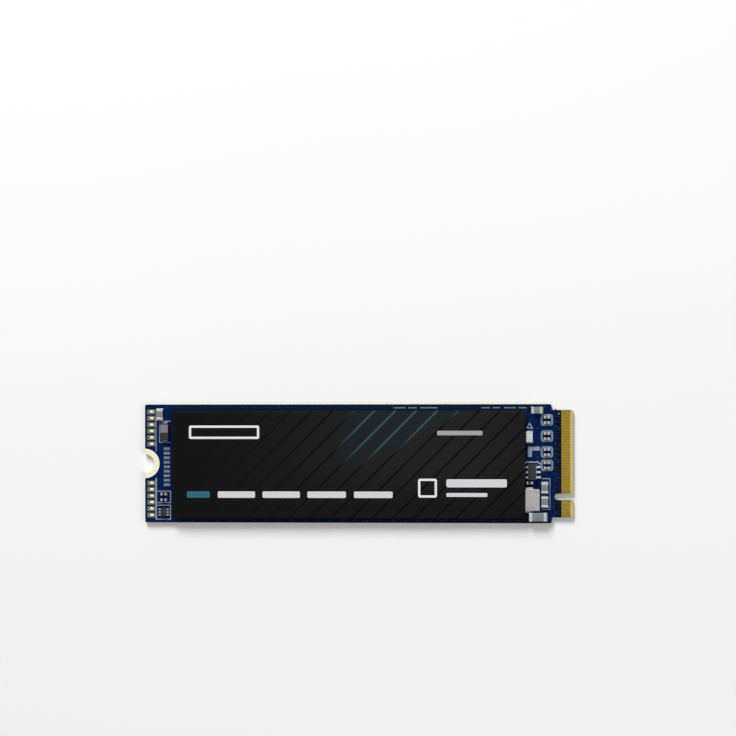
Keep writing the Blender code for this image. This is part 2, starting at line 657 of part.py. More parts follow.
def label_supports():
    """What holds the label up, along X: where each starts and stops, its top, and its half length across."""
    flash_top = PACKAGE_FOOT + FLASH_BODY_HEIGHT
    memory_top = PACKAGE_FOOT + MEMORY_BODY_HEIGHT
    half_lid = LID_SIDE / 2 - LID_FLANGE
    return [
        (FLASH_1_X - FLASH_WIDTH / 2, FLASH_1_X + FLASH_WIDTH / 2, flash_top, FLASH_LENGTH / 2),
        (FLASH_2_X - FLASH_WIDTH / 2, FLASH_2_X + FLASH_WIDTH / 2, flash_top, FLASH_LENGTH / 2),
        (MEMORY_X - MEMORY_WIDTH / 2, MEMORY_X + MEMORY_WIDTH / 2, memory_top, MEMORY_LENGTH / 2),
        (CONTROLLER_X - half_lid, CONTROLLER_X + half_lid, controller_top(), half_lid),
        (INDUCTORS_X - INDUCTOR_SIDE / 2, LABEL_STOP, SEAT + INDUCTOR_HEIGHT, FLASH_LENGTH / 2),
    ]


def between(start, stop, share):
    return start + (stop - start) * share


def label_stations():
    """Places along X, each with the height of the label's underside and the half length held level there."""
    supports = label_supports()
    start, _, top, half = supports[0]
    stations = []
    for step in range(LABEL_GAP_STEPS):
        share = 1 - step / LABEL_GAP_STEPS
        stations.append((start - LABEL_OVERHANG * share, top - LABEL_END_DROOP * share ** 2, half))
    for index, (start, stop, top, half) in enumerate(supports):
        stations += [(start, top, half), (stop, top, half)]
        if index + 1 == len(supports):
            break
        next_start, _, next_top, next_half = supports[index + 1]
        for step in range(1, LABEL_GAP_STEPS):
            share = step / LABEL_GAP_STEPS
            eased = share * share * (3 - 2 * share)
            height = between(top, next_top, eased) - LABEL_SAG * math.sin(math.pi * share)
            stations.append((between(stop, next_start, share), height, between(half, next_half, eased)))
    return stations


def label_row(half):
    """Places across the label, densest towards its free edges, each with how far it droops there."""
    low_edge = BOTTOM_EDGE + LABEL_BOTTOM_MARGIN
    high_edge = TOP_EDGE - LABEL_TOP_MARGIN
    low_hold = max(-half, low_edge + LABEL_LEAST_LIP)
    high_hold = min(half, high_edge - LABEL_LEAST_LIP)
    shares = [step / LABEL_EDGE_STEPS for step in range(LABEL_EDGE_STEPS + 1)]
    low = [(between(low_hold, low_edge, share), share) for share in reversed(shares)]
    high = [(between(high_hold, high_edge, share), share) for share in shares]
    return [(y, LABEL_EDGE_DROOP * share ** 2) for y, share in low + high]


def make_label(film):
    """One sheet, level on the tall parts, that sags a little between them and droops at its free edges."""
    stations = label_stations()
    rows = len(label_row(FLASH_LENGTH / 2))
    points = []
    for rise in (LABEL_FILM, LABEL_FILM + LABEL_THICKNESS):
        for x, height, half in stations:
            points += [(x, y, height + rise - droop) for y, droop in label_row(half)]
    sheet = len(stations) * rows
    faces = []
    for i in range(len(stations) - 1):
        for j in range(rows - 1):
            corner = i * rows + j
            under = (corner, corner + 1, corner + rows + 1, corner + rows)
            faces.append(under)
            faces.append(tuple(sheet + index for index in reversed(under)))
    rim = [i * rows for i in range(len(stations))]
    rim += [(len(stations) - 1) * rows + j for j in range(1, rows)]
    rim += [i * rows + rows - 1 for i in reversed(range(len(stations) - 1))]
    rim += list(reversed(range(1, rows - 1)))
    for i, index in enumerate(rim):
        following = rim[(i + 1) % len(rim)]
        faces.append((index, following, sheet + following, sheet + index))
    mesh = bpy.data.meshes.new("label")
    mesh.from_pydata(points, [], faces)
    mesh.materials.append(film)
    shade_round_faces(mesh)
    place("label", mesh)


def coupling_chips():
    """Four pairs of coupling capacitors in line with the contacts that they serve."""
    chips = []
    for pair, centre in enumerate(COUPLING_PLACES):
        for side in (1, -1):
            number = 2 * pair + (1 if side > 0 else 2)
            y = centre + side * COUPLING_PAIR_PITCH / 2
            name = f"coupling_capacitor_{number}"
            chips.append(Chip(name, SIZE_0402, SHOULDER - COUPLING_FROM_SHOULDER, y, False, "ceramic"))
    return chips


def contact_end_chips():
    """The chips that show beyond the label at the contact end."""
    beside_x = INPUT_INDUCTOR_X + INPUT_INDUCTOR_SIDE / 2 + CLOSE_SPACING + SIZE_0805.width / 2
    beside_y = INPUT_INDUCTOR_Y + OUTPUT_PAIR_ABOVE_INDUCTOR
    beside = OUTPUT_PAIR_PITCH / 2
    fuse_x = SHOULDER - FUSE_FROM_SHOULDER
    fuse_y = SWITCH_Y + SWITCH_SIZE.length / 2 + FUSE_ABOVE_SWITCH + SIZE_0805.length / 2
    input_x = SHOULDER - INPUT_CAPACITOR_FROM_SHOULDER
    input_y = TOP_EDGE - INPUT_CAPACITOR_FROM_EDGE - SIZE_0805.width / 2
    return [
        Chip("input_capacitor", SIZE_0805, input_x, input_y, False, "ceramic"),
        Chip("input_fuse", SIZE_0805, fuse_x, fuse_y, True, "pale"),
        Chip("gate_resistor", SIZE_0402, fuse_x, GATE_Y, False, "resistor"),
        Chip("output_capacitor_1", SIZE_0805, beside_x, beside_y + beside, True, "ceramic"),
        Chip("output_capacitor_2", SIZE_0805, beside_x, beside_y - beside, True, "ceramic"),
        Chip("bulk_capacitor", SIZE_1206, SHOULDER - BULK_FROM_SHOULDER, BULK_Y, False, "ceramic"),
    ]


def power_chips():
    """The capacitors round the power chip and the pair beside the crystal."""
    beside_x = CRYSTAL_X + CRYSTAL_LENGTH / 2 + PART_SPACING + SIZE_0402.length / 2
    beside = CRYSTAL_PAIR_PITCH / 2
    second_x = POWER_CHIP_X + SIZE_0603.length + PART_SPACING
    return [
        Chip("power_capacitor_1", SIZE_0603, POWER_CHIP_X, POWER_CAPACITOR_OFFSET, False, "ceramic"),
        Chip("power_capacitor_2", SIZE_0603, POWER_CHIP_X, -POWER_CAPACITOR_OFFSET, False, "ceramic"),
        Chip("power_capacitor_3", SIZE_0603, second_x, -POWER_CAPACITOR_OFFSET, False, "ceramic"),
        Chip("crystal_capacitor_1", SIZE_0402, beside_x, CRYSTAL_Y + beside, False, "ceramic"),
        Chip("crystal_capacitor_2", SIZE_0402, beside_x, CRYSTAL_Y - beside, False, "ceramic"),
    ]


def tail_chips():
    """The chips that show beyond the label at the screw end."""
    top_y = TOP_EDGE - TAIL_CAPACITOR_FROM_EDGE - SIZE_0805.length / 2
    pair_y = SENSOR_Y + SENSOR_SIZE.length / 2 + TAIL_PAIR_ABOVE_SENSOR + SIZE_0402.width / 2
    pair_x = SCREW_END + TAIL_PAIR_FROM_END
    return [
        Chip("tail_capacitor", SIZE_0805, SCREW_END + TAIL_CAPACITOR_FROM_END, top_y, True, "ceramic"),
        Chip("tail_resistor_1", SIZE_0402, pair_x, pair_y, False, "resistor"),
        Chip("tail_resistor_2", SIZE_0402, pair_x, pair_y + TAIL_PAIR_PITCH, False, "resistor"),
    ]


def decoupling_chips():
    """Columns of small capacitors under the label, each spread along the package beside it."""
    half_gap = PACKAGE_GAP / 2
    columns = [
        (FLASH_1_X - FLASH_WIDTH / 2 - TAIL_COLUMN_FROM_PACKAGE, 3, FLASH_LENGTH),
        (FLASH_1_X + FLASH_WIDTH / 2 + half_gap, 5, FLASH_LENGTH),
        (MEMORY_X - MEMORY_WIDTH / 2 - half_gap, 4, MEMORY_LENGTH),
        (MEMORY_X + MEMORY_WIDTH / 2 + half_gap, 4, MEMORY_LENGTH),
        (CONTROLLER_X + CONTROLLER_SIDE / 2 + half_gap, 5, CONTROLLER_SIDE),
    ]
    chips = []
    for x, count, package_length in columns:
        last = package_length / 2 - DECOUPLING_SET_IN
        for i in range(count):
            y = between(-last, last, i / (count - 1))
            name = f"decoupling_capacitor_{len(chips) + 1}"
            chips.append(Chip(name, SIZE_0402, x, y, True, "ceramic"))
    return chips


def main():
    clear_scene()
    mask = make_material("solder mask", (0.012, 0.075, 0.24), 0.35)
    gold = make_material("gilded copper", (0.72, 0.52, 0.18), 0.3, 1.0)
    laminate = make_material("bare laminate", (0.36, 0.38, 0.2), 0.6)
    mould = make_material("moulding compound", (0.02, 0.02, 0.022), 0.55)
    carrier = make_material("package carrier", (0.02, 0.06, 0.04), 0.45)
    silicon = make_material("bare silicon", (0.16, 0.17, 0.2), 0.15, 0.6)
    nickel = make_material("nickel plate", (0.62, 0.61, 0.58), 0.3, 1.0)
    tin = make_material("tinned metal", (0.72, 0.73, 0.75), 0.3, 1.0)
    powder = make_material("pressed powder", (0.42, 0.42, 0.41), 0.6)
    ceramic = make_material("brown ceramic", (0.3, 0.23, 0.18), 0.5)
    alumina = make_material("white ceramic", (0.75, 0.75, 0.72), 0.5)
    glaze = make_material("black resistor glaze", (0.02, 0.02, 0.025), 0.3)
    film = make_material("label film", (0.018, 0.018, 0.02), 0.4)

    chips = coupling_chips() + contact_end_chips() + power_chips() + tail_chips() + decoupling_chips()
    make_circuit_board(chips, mask, gold, laminate)
    make_chips(chips, {"ceramic": ceramic, "pale": alumina, "resistor": glaze}, tin)

    make_package("flash_chip_1", FLASH_1_X, FLASH_WIDTH, FLASH_LENGTH, FLASH_BODY_HEIGHT, mould, carrier)
    make_package("flash_chip_2", FLASH_2_X, FLASH_WIDTH, FLASH_LENGTH, FLASH_BODY_HEIGHT, mould, carrier)
    make_package("memory_chip", MEMORY_X, MEMORY_WIDTH, MEMORY_LENGTH, MEMORY_BODY_HEIGHT, mould, carrier)
    make_controller(carrier, silicon, nickel)

    make_leadless_part("power_chip", POWER_CHIP_SIZE, POWER_CHIP_X, 0.0, mould, tin)
    make_leadless_part("start_chip", START_CHIP_SIZE, START_CHIP_X, START_CHIP_Y, mould, tin)
    make_crystal(CRYSTAL_X, CRYSTAL_Y, ceramic, nickel)
    make_inductor("input_inductor", INPUT_INDUCTOR_SIDE, INPUT_INDUCTOR_X, INPUT_INDUCTOR_Y, powder, tin)
    for number, y in enumerate(SMALL_INDUCTOR_PLACES, start=1):
        make_inductor(f"power_inductor_{number}", INDUCTOR_SIDE, INDUCTORS_X, y, powder, tin)
    make_polarised_capacitor(mould, tin)
    make_leaded_part("load_switch", SWITCH_SIZE, SHOULDER - SWITCH_FROM_SHOULDER, SWITCH_Y, mould, tin)
    make_leaded_part("temperature_sensor", SENSOR_SIZE, SENSOR_X, SENSOR_Y, mould, tin)
    make_label(film)


main()
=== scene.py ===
"""Looks of the gumstick solid state drive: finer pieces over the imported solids, materials, light and camera.

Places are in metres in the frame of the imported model. What is drawn on the board or on the label is given in
millimetres, and so is every coordinate in a material.
"""

import math

import bmesh
import bpy
from mathutils import Matrix, Vector


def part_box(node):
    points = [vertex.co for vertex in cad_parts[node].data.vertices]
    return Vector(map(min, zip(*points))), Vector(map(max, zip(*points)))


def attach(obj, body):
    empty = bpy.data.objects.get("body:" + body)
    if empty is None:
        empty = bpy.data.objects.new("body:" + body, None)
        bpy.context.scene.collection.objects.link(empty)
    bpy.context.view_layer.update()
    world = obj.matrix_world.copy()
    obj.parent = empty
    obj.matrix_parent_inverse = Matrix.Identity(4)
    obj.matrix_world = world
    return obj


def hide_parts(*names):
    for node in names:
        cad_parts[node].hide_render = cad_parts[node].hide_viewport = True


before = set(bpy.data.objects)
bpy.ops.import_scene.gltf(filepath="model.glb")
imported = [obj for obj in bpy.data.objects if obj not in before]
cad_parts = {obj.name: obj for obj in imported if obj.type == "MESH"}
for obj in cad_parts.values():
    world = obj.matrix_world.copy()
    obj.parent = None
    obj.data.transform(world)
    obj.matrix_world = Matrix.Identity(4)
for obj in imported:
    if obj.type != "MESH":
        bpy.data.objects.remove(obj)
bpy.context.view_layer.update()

MM = 0.001

# Heights in millimetres: the board's two faces between the copper, and the top of the bare copper
SURFACE = 0.765
UNDERSIDE = 0.035
COPPER_TOP = 0.8

# How far copper, via caps and print stand out of a face, and how deep they reach into it, in millimetres
TRACE_RISE = 0.006
VIA_CAP_RISE = 0.002
PRINT_RISE = 0.014
ROOT = 0.01

# Points nearer than this are welded, in metres
WELD = 1e-7


# Shader graphs

NOISE_ROUGHNESS = 0.55
NOISE_LOW, NOISE_HIGH = 0.3, 0.7


class Graph:
    """Builds a material's node tree from sockets and numbers, on object coordinates in millimetres."""

    def __init__(self, name):
        self.material = bpy.data.materials.new(name)
        self.material.use_nodes = True
        self.tree = self.material.node_tree
        self.shader = self.tree.nodes["Principled BSDF"]
        self.object_place = None

    def node(self, kind):
        return self.tree.nodes.new(kind)

    def feed(self, socket, value):
        if isinstance(value, bpy.types.NodeSocket):
            self.tree.links.new(value, socket)
        else:
            socket.default_value = value

    def place(self):
        if self.object_place is None:
            scale = self.node("ShaderNodeVectorMath")
            scale.operation = "SCALE"
            self.feed(scale.inputs[0], self.node("ShaderNodeTexCoord").outputs["Object"])
            scale.inputs["Scale"].default_value = 1 / MM
            self.object_place = scale.outputs[0]
        return self.object_place

    def axes(self):
        split = self.node("ShaderNodeSeparateXYZ")
        self.feed(split.inputs[0], self.place())
        return split.outputs["X"], split.outputs["Y"], split.outputs["Z"]

    def math(self, operation, first, second=0.0):
        node = self.node("ShaderNodeMath")
        node.operation = operation
        for socket, value in zip(node.inputs, (first, second)):
            self.feed(socket, value)
        return node.outputs[0]

    def blend(self, first, second, share):
        """The sum of two values, weighed by share and by what is left of 1."""
        return self.math("ADD", self.math("MULTIPLY", first, share), self.math("MULTIPLY", second, 1 - share))

    def hypot(self, first, second):
        squares = self.math("ADD", self.math("MULTIPLY", first, first), self.math("MULTIPLY", second, second))
        return self.math("SQRT", squares)

    def weave(self, x, y, fineness):
        """Crossed waves, as glass cloth has them."""
        waves = [self.math("SINE", self.math("MULTIPLY", axis, fineness)) for axis in (x, y)]
        return self.math("MULTIPLY", *waves)

    def ramp(self, value, start, stop, low=0.0, high=1.0):
        """Eases from low to high while the value goes from start to stop."""
        node = self.node("ShaderNodeMapRange")
        node.interpolation_type = "SMOOTHSTEP"
        for socket, given in zip(node.inputs, (value, start, stop, low, high)):
            self.feed(socket, given)
        return node.outputs[0]

    def swing(self, noise, low=0.0, high=1.0):
        """Brings the usual range of a noise to low and high."""
        return self.ramp(noise, NOISE_LOW, NOISE_HIGH, low, high)

    def mix(self, share, first, second):
        node = self.node("ShaderNodeMix")
        node.data_type = "RGBA"
        self.feed(node.inputs["Factor"], share)
        for name, value in (("A", first), ("B", second)):
            socket = next(s for s in node.inputs if s.name == name and s.type == "RGBA")
            self.feed(socket, (*value, 1.0) if isinstance(value, tuple) else value)
        return next(s for s in node.outputs if s.type == "RGBA")

    def noise(self, scale, detail, stretch=None):
        """Noise whose scale is in features a millimetre."""
        node = self.node("ShaderNodeTexNoise")
        source = self.place()
        if stretch:
            mapping = self.node("ShaderNodeMapping")
            self.feed(mapping.inputs["Vector"], source)
            mapping.inputs["Scale"].default_value = stretch
            source = mapping.outputs[0]
        self.feed(node.inputs["Vector"], source)
        node.inputs["Scale"].default_value = scale
        node.inputs["Detail"].default_value = detail
        node.inputs["Roughness"].default_value = NOISE_ROUGHNESS
        return node.outputs["Fac"]

    def bump(self, height, distance_mm):
        node = self.node("ShaderNodeBump")
        self.feed(node.inputs["Height"], height)
        node.inputs["Distance"].default_value = distance_mm * MM
        self.feed(self.shader.inputs["Normal"], node.outputs[0])

    def finish(self, colour, roughness, metallic=0.0, specular=0.5):
        self.feed(self.shader.inputs["Base Color"], colour)
        self.feed(self.shader.inputs["Roughness"], roughness)
        self.shader.inputs["Metallic"].default_value = metallic
        self.shader.inputs["Specular IOR Level"].default_value = specular
        return self.material


def shaded(colour, share):
    return tuple(min(1.0, part * share) for part in colour)


# Materials of the board and the parts

# Speckled materials: scale of the broad variation against the fine one, and how uneven the roughness is
BROAD_SHARE = 0.15
UNEVENNESS = 0.07

MASK_GLOSS = 0.035

# Painted shade of the label: the mask is darker in the margins beside the label, darkest below it, inwards
# from these |x| and outwards from these |y|
LABEL_REACH = (34.6, 32.6)
MARGIN_START = (9.6, 10.0)
SHADE_BELOW_LABEL = (0.0007, 0.003, 0.0075)
SHADE_ABOVE_LABEL = (0.0022, 0.0105, 0.026)
LABEL_SHADE_SHARE = 0.85


def speckled(name, colour, roughness, metallic=0.0, *, scale, spread, specular=0.5, bump_mm=0.004):
    """A material with fine colour variation, uneven roughness and a fine bump."""
    g = Graph(name)
    broad = g.noise(scale * BROAD_SHARE, 2.0)
    fine = g.noise(scale, 4.0)
    shade = g.blend(broad, fine, 0.5)
    tone = g.mix(g.swing(shade), shaded(colour, 1 - spread), shaded(colour, 1 + spread))
    g.bump(fine, bump_mm)
    uneven = g.swing(broad, max(0.05, roughness - UNEVENNESS), min(1.0, roughness + UNEVENNESS))
    return g.finish(tone, uneven, metallic, specular)


def mask_material(name, colour, spread):
    """Solder mask: glossy, slightly mottled by the weave under it, and darkened beside the label by painted
    shade, darkest below it.
    """
    g = Graph(name)
    x, y, _ = g.axes()
    weave = g.weave(x, y, 11.0)
    cloud = g.noise(0.5, 3.0)
    fine = g.noise(9.0, 3.0)
    shade = g.blend(cloud, fine, 0.7)
    tone = g.mix(g.swing(shade), shaded(colour, 1 - spread), shaded(colour, 1 + spread))
    g.bump(g.math("ADD", g.math("MULTIPLY", weave, 0.3), fine), 0.004)
    # Painted shade: the margins beside the label are darkened, more below it than above
    beside_label = g.ramp(g.math("ABSOLUTE", x), *LABEL_REACH)
    shaded_margin = g.math("MULTIPLY", g.ramp(g.math("ABSOLUTE", y), *MARGIN_START), beside_label)
    dark = g.mix(g.ramp(y, -1.0, 1.0), SHADE_BELOW_LABEL, SHADE_ABOVE_LABEL)
    tone = g.mix(g.math("MULTIPLY", shaded_margin, LABEL_SHADE_SHARE), tone, dark)
    return g.finish(tone, g.swing(cloud, 0.26, 0.36), 0.0, MASK_GLOSS)


def laminate_material():
    """Sawn edge of the board: layers of glass cloth in resin."""
    g = Graph("laminate")
    _, _, z = g.axes()
    layers = g.math("SINE", g.math("MULTIPLY", z, 62.0))
    fibre = g.noise(5.0, 4.0, stretch=(1.0, 1.0, 6.0))
    shade = g.math("ADD", g.math("MULTIPLY", layers, 0.25), fibre)
    tone = g.mix(g.ramp(shade, 0.2, 0.9), (0.16, 0.17, 0.06), (0.42, 0.40, 0.2))
    g.bump(shade, 0.01)
    return g.finish(tone, 0.6, 0.0, 0.4)


def bare_resin_material(name, dark, light, specular):
    """Bare board face: glass weave showing through thin resin."""
    g = Graph(name)
    x, y, _ = g.axes()
    fine = g.noise(7.0, 3.0)
    shade = g.math("ADD", g.math("MULTIPLY", g.weave(x, y, 13.0), 0.15), fine)
    g.bump(shade, 0.005)
    return g.finish(g.mix(g.ramp(shade, 0.25, 0.75), dark, light), 0.45, 0.0, specular)


def gold_material():
    """Hard gold on the contacts, with fine lines along them."""
    g = Graph("gilded copper")
    fine = g.noise(14.0, 3.0, stretch=(0.3, 1.0, 1.0))
    cloud = g.noise(0.9, 2.0)
    tone = g.mix(g.swing(g.blend(fine, cloud, 0.4)), (0.30, 0.20, 0.020), (0.37, 0.26, 0.036))
    g.bump(fine, 0.003)
    return g.finish(tone, g.swing(cloud, 0.22, 0.36), 1.0)


def pale_gold_material(name, dark, light, metallic):
    """Thin gilding, paler than the contacts."""
    g = Graph(name)
    fine = g.noise(10.0, 3.0)
    tone = g.mix(g.ramp(fine, 0.35, 0.65), dark, light)
    g.bump(fine, 0.003)
    return g.finish(tone, g.swing(fine, 0.24, 0.38), metallic)


def brushed_material(name, colour, along):
    """Metal with brush lines along the axis whose stretch is small."""
    g = Graph(name)
    lines = g.noise(12.0, 3.0, stretch=along)
    tone = g.mix(g.swing(lines), shaded(colour, 0.86), shaded(colour, 1.1))
    g.bump(lines, 0.003)
    return g.finish(tone, g.swing(lines, 0.22, 0.4), 1.0)


# Label print: dark lines at 45 degrees, a glow over some of them, and plain bars and frames, on a film with a
# painted sheen

LINE_START = -37.7
LINE_PITCH = 3.891
LINE_HALF = 0.2
LINE_BLUR_OUT, LINE_BLUR_IN = 0.12, 0.1
LINE_BLACK = (0.0003, 0.0003, 0.0004)
FILM_BLACK = (0.0040, 0.0041, 0.0041)
FILM_SHEEN_LOW = (0.0064, 0.0062, 0.0063)
FILM_SHEEN_HIGH = (0.0128, 0.0125, 0.0125)
FILM_START = -34.0

# The glow fades in above a hem: a parabola in x - y round GLOW_MIDDLE, with its lowest point at GLOW_FOOT
GLOW_MIDDLE = -0.5
GLOW_CURVE = 0.09
GLOW_FOOT = -1.6
GLOW_FADE = 5.5
GLOW_HAZE = (0.007, 0.019, 0.025)
GLOW_HAZE_SHARE = 0.4
GLOW_LINE = (0.036, 0.078, 0.09)

# Bars and frames: middle, half size, corner radius and ink
BARS = (
    (-24.9, 5.85, 6.6, 1.25, 0.35, "frame"),
    (-29.75, -5.75, 2.15, 0.6, 0.25, "teal"),
    (-22.6, -5.75, 3.5, 0.6, 0.25, "white"),
    (-14.2, -5.75, 3.5, 0.6, 0.25, "white"),
    (-5.7, -5.75, 3.6, 0.6, 0.25, "white"),
    (3.0, -5.75, 3.6, 0.6, 0.25, "white"),
    (19.1, 5.7, 4.2, 0.42, 0.2, "grey"),
    (13.1, -4.5, 1.75, 1.75, 0.4, "frame"),
    (22.2, -3.6, 5.6, 0.75, 0.3, "white"),
    (20.4, -5.75, 3.8, 0.36, 0.2, "white"),
)
LABEL_INKS = {
    "frame": (0.72, 0.72, 0.73),
    "white": (0.60, 0.60, 0.62),
    "grey": (0.33, 0.33, 0.34),
    "teal": (0.03, 0.125, 0.185),
}
FRAME_STROKE = 0.42
BAR_BLUR = 0.02
LEAST_CORNER = 0.1
LABEL_GLOSS = 0.042


def bar_cover(g, x, y, bar):
    """1 inside a bar with rounded corners, or on the stroke of a frame, and 0 outside."""
    centre_x, centre_y, half_x, half_y, corner, kind = bar

    def past_straight(place, centre, half):
        off_centre = g.math("ABSOLUTE", g.math("SUBTRACT", place, centre))
        return g.math("MAXIMUM", g.math("SUBTRACT", off_centre, half - corner), 0.0)

    off_corner = g.hypot(past_straight(x, centre_x, half_x), past_straight(y, centre_y, half_y))
    inside = g.ramp(off_corner, corner + BAR_BLUR, corner - BAR_BLUR)
    if kind != "frame":
        return inside
    inner_corner = max(LEAST_CORNER, corner - FRAME_STROKE)
    inner = (centre_x, centre_y, half_x - FRAME_STROKE, half_y - FRAME_STROKE, inner_corner, "hole")
    return g.math("SUBTRACT", inside, bar_cover(g, x, y, inner))


def label_material():
    g = Graph("label print and painted sheen")
    x, y, _ = g.axes()
    across = g.math("SUBTRACT", x, y)
    steps = g.math("DIVIDE", g.math("SUBTRACT", across, LINE_START), LINE_PITCH)
    nearest = g.math("ABSOLUTE", g.math("SUBTRACT", steps, g.math("ROUND", steps)))
    off_line = g.math("MULTIPLY", nearest, LINE_PITCH)
    line = g.ramp(off_line, LINE_HALF + LINE_BLUR_OUT, LINE_HALF - LINE_BLUR_IN)

    # The film is blackest at both ends, and a painted sheen lightens it in between, most on the right towards
    # the top; its lines are faint at the screw end
    right = g.mix(g.ramp(y, -9.0, 1.0), FILM_SHEEN_LOW, FILM_SHEEN_HIGH)
    base = g.mix(g.ramp(x, FILM_START, 12.0), FILM_BLACK, right)
    base = g.mix(g.ramp(x, 20.0, 31.0, 0.0, 0.35), base, FILM_BLACK)
    depth = g.ramp(x, FILM_START, 0.0, 0.2, 1.0)
    dark = g.mix(g.math("MULTIPLY", line, depth), base, LINE_BLACK)

    off_middle = g.math("SUBTRACT", across, GLOW_MIDDLE)
    curve = g.math("MULTIPLY", g.math("MULTIPLY", off_middle, off_middle), GLOW_CURVE)
    hem = g.math("ADD", curve, GLOW_FOOT)
    glow = g.ramp(g.math("SUBTRACT", y, hem), 0.0, GLOW_FADE)
    haze = g.mix(g.math("MULTIPLY", glow, GLOW_HAZE_SHARE), dark, GLOW_HAZE)
    colour = g.mix(g.math("MULTIPLY", line, glow), haze, GLOW_LINE)

    for bar in BARS:
        colour = g.mix(bar_cover(g, x, y, bar), colour, LABEL_INKS[bar[-1]])
    fine = g.noise(16.0, 4.0)
    broad = g.noise(0.12, 2.0)
    g.bump(fine, 0.0025)
    return g.finish(colour, g.swing(broad, 0.44, 0.48), 0.0, LABEL_GLOSS)


MATERIALS = {
    "mask": mask_material("solder mask", (0.0011, 0.0100, 0.057), 0.25),
    "trace": mask_material("mask over copper", (0.0022, 0.022, 0.1), 0.15),
    "thin mask": bare_resin_material(
        "mask over bare board", (0.0012, 0.0018, 0.0028), (0.0026, 0.0038, 0.006), 0.05),
    "laminate": laminate_material(),
    "bare": bare_resin_material("bare board", (0.17, 0.125, 0.02), (0.26, 0.19, 0.04), 0.2),
    # Partly painted highlight: the chamfer's ground resin is lighter than the flat bare board, and its colour
    # also stands for the highlight along it
    "bevel": bare_resin_material("bevelled board and painted highlight", (0.40, 0.33, 0.10), (0.58, 0.49, 0.19), 0.3),
    "gold": gold_material(),
    "pale gold": pale_gold_material("pale gilding", (0.15, 0.16, 0.10), (0.20, 0.21, 0.14), 0.85),
    # Partly painted highlight: the ring round the notch and the domes on the test pads are a bright cream,
    # lighter than their metal
    "gilding and highlight": pale_gold_material("cream gilding and painted highlight", (0.80, 0.75, 0.54), (0.88, 0.84, 0.64), 0.3),
    "silk": speckled(
        "board print", (0.25, 0.27, 0.34), 0.55, specular=0.2, scale=10.0, spread=0.15, bump_mm=0.003),
    "faint silk": speckled(
        "faint board print", (0.15, 0.20, 0.25), 0.55, specular=0.2, scale=10.0, spread=0.2, bump_mm=0.003),
    "solder": speckled("solder", (0.42, 0.44, 0.46), 0.38, 1.0, scale=5.0, spread=0.12, bump_mm=0.002),
    "tin": speckled("tinned ends", (0.46, 0.48, 0.50), 0.34, 0.75, scale=9.0, spread=0.1, bump_mm=0.003),
    # Painted shade: a darker, less metallic copy of the tin, so that the polarised capacitor's clips and
    # joints show no highlight
    "darkened tin": speckled(
        "darkened terminals", (0.20, 0.18, 0.21), 0.5, 0.5, scale=9.0, spread=0.15, bump_mm=0.003),
    "ceramic": speckled("brown ceramic", (0.185, 0.155, 0.135), 0.45, scale=9.0, spread=0.2),
    "grey ceramic": speckled("grey ceramic", (0.16, 0.175, 0.18), 0.4, scale=9.0, spread=0.2),
    "alumina": speckled("white ceramic", (0.52, 0.53, 0.55), 0.5, scale=9.0, spread=0.1),
    "glaze": speckled("resistor glaze", (0.012, 0.012, 0.014), 0.25, scale=8.0, spread=0.3),
    "mould": speckled(
        "moulding compound", (0.014, 0.014, 0.017), 0.55,
        specular=0.3, scale=14.0, spread=0.35, bump_mm=0.006),
    "carrier": speckled("package carrier", (0.012, 0.05, 0.03), 0.4, scale=8.0, spread=0.25),
    "powder": speckled("pressed powder", (0.33, 0.32, 0.31), 0.6, scale=11.0, spread=0.18, bump_mm=0.008),
    "nickel": brushed_material("nickel lid", (0.60, 0.59, 0.56), (0.15, 1.0, 1.0)),
    "crystal lid": brushed_material("crystal lid", (0.66, 0.62, 0.52), (1.0, 0.2, 1.0)),
    "silicon": speckled("bare silicon", (0.17, 0.18, 0.22), 0.12, 0.7, scale=3.0, spread=0.1, bump_mm=0.001),
    "band": speckled("end band", (0.19, 0.155, 0.20), 0.5, specular=0.25, scale=9.0, spread=0.15),
    "hole": speckled("via hole", (0.004, 0.006, 0.012), 0.5, scale=9.0, spread=0.2),
    "label": label_material(),
    "adhesive": speckled("label backing", (0.32, 0.32, 0.30), 0.6, scale=7.0, spread=0.12),
}


# Meshes

def add_piece(name, mesh, replaces=(), location=(0, 0, 0)):
    piece = bpy.data.objects.new(name, mesh)
    piece.location = location
    bpy.context.scene.collection.objects.link(piece)
    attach(piece, "root")
    if replaces:
        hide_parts(*replaces)
    return piece


def new_mesh(bm, name, keys):
    mesh = bpy.data.meshes.new(name)
    bm.to_mesh(mesh)
    bm.free()
    for key in keys:
        mesh.materials.append(MATERIALS[key])
    return mesh


def mesh_of(bm, name, keys, smooth_angle=35):
    """A mesh whose edges stay sharp where its faces meet at more than smooth_angle degrees."""
    bmesh.ops.recalc_face_normals(bm, faces=bm.faces)
    mesh = new_mesh(bm, name, keys)
    mesh.shade_smooth()
    mesh.set_sharp_from_angle(angle=math.radians(smooth_angle))
    return mesh


def add_drawn(bm, name, keys, replaces=(), smooth_angle=35):
    add_piece(name, mesh_of(bm, name, keys, smooth_angle), replaces)


def add_block(bm, low, high, material=0, softness=0.0):
    """A block between two corners in metres, with edges eased by softness."""
    made = bmesh.ops.create_cube(bm, size=1.0)["verts"]
    size = [b - a for a, b in zip(low, high)]
    middle = [(a + b) / 2 for a, b in zip(low, high)]
    bmesh.ops.scale(bm, vec=size, verts=made)
    bmesh.ops.translate(bm, vec=middle, verts=made)
    faces = list(dict.fromkeys(face for vert in made for face in vert.link_faces))
    for face in faces:
        face.material_index = material
    if softness > 0:
        edges = list(dict.fromkeys(edge for face in faces for edge in face.edges))
        done = bmesh.ops.bevel(bm, geom=edges, offset=softness, segments=2, profile=0.5, affect="EDGES")
        for face in done["faces"]:
            face.material_index = material


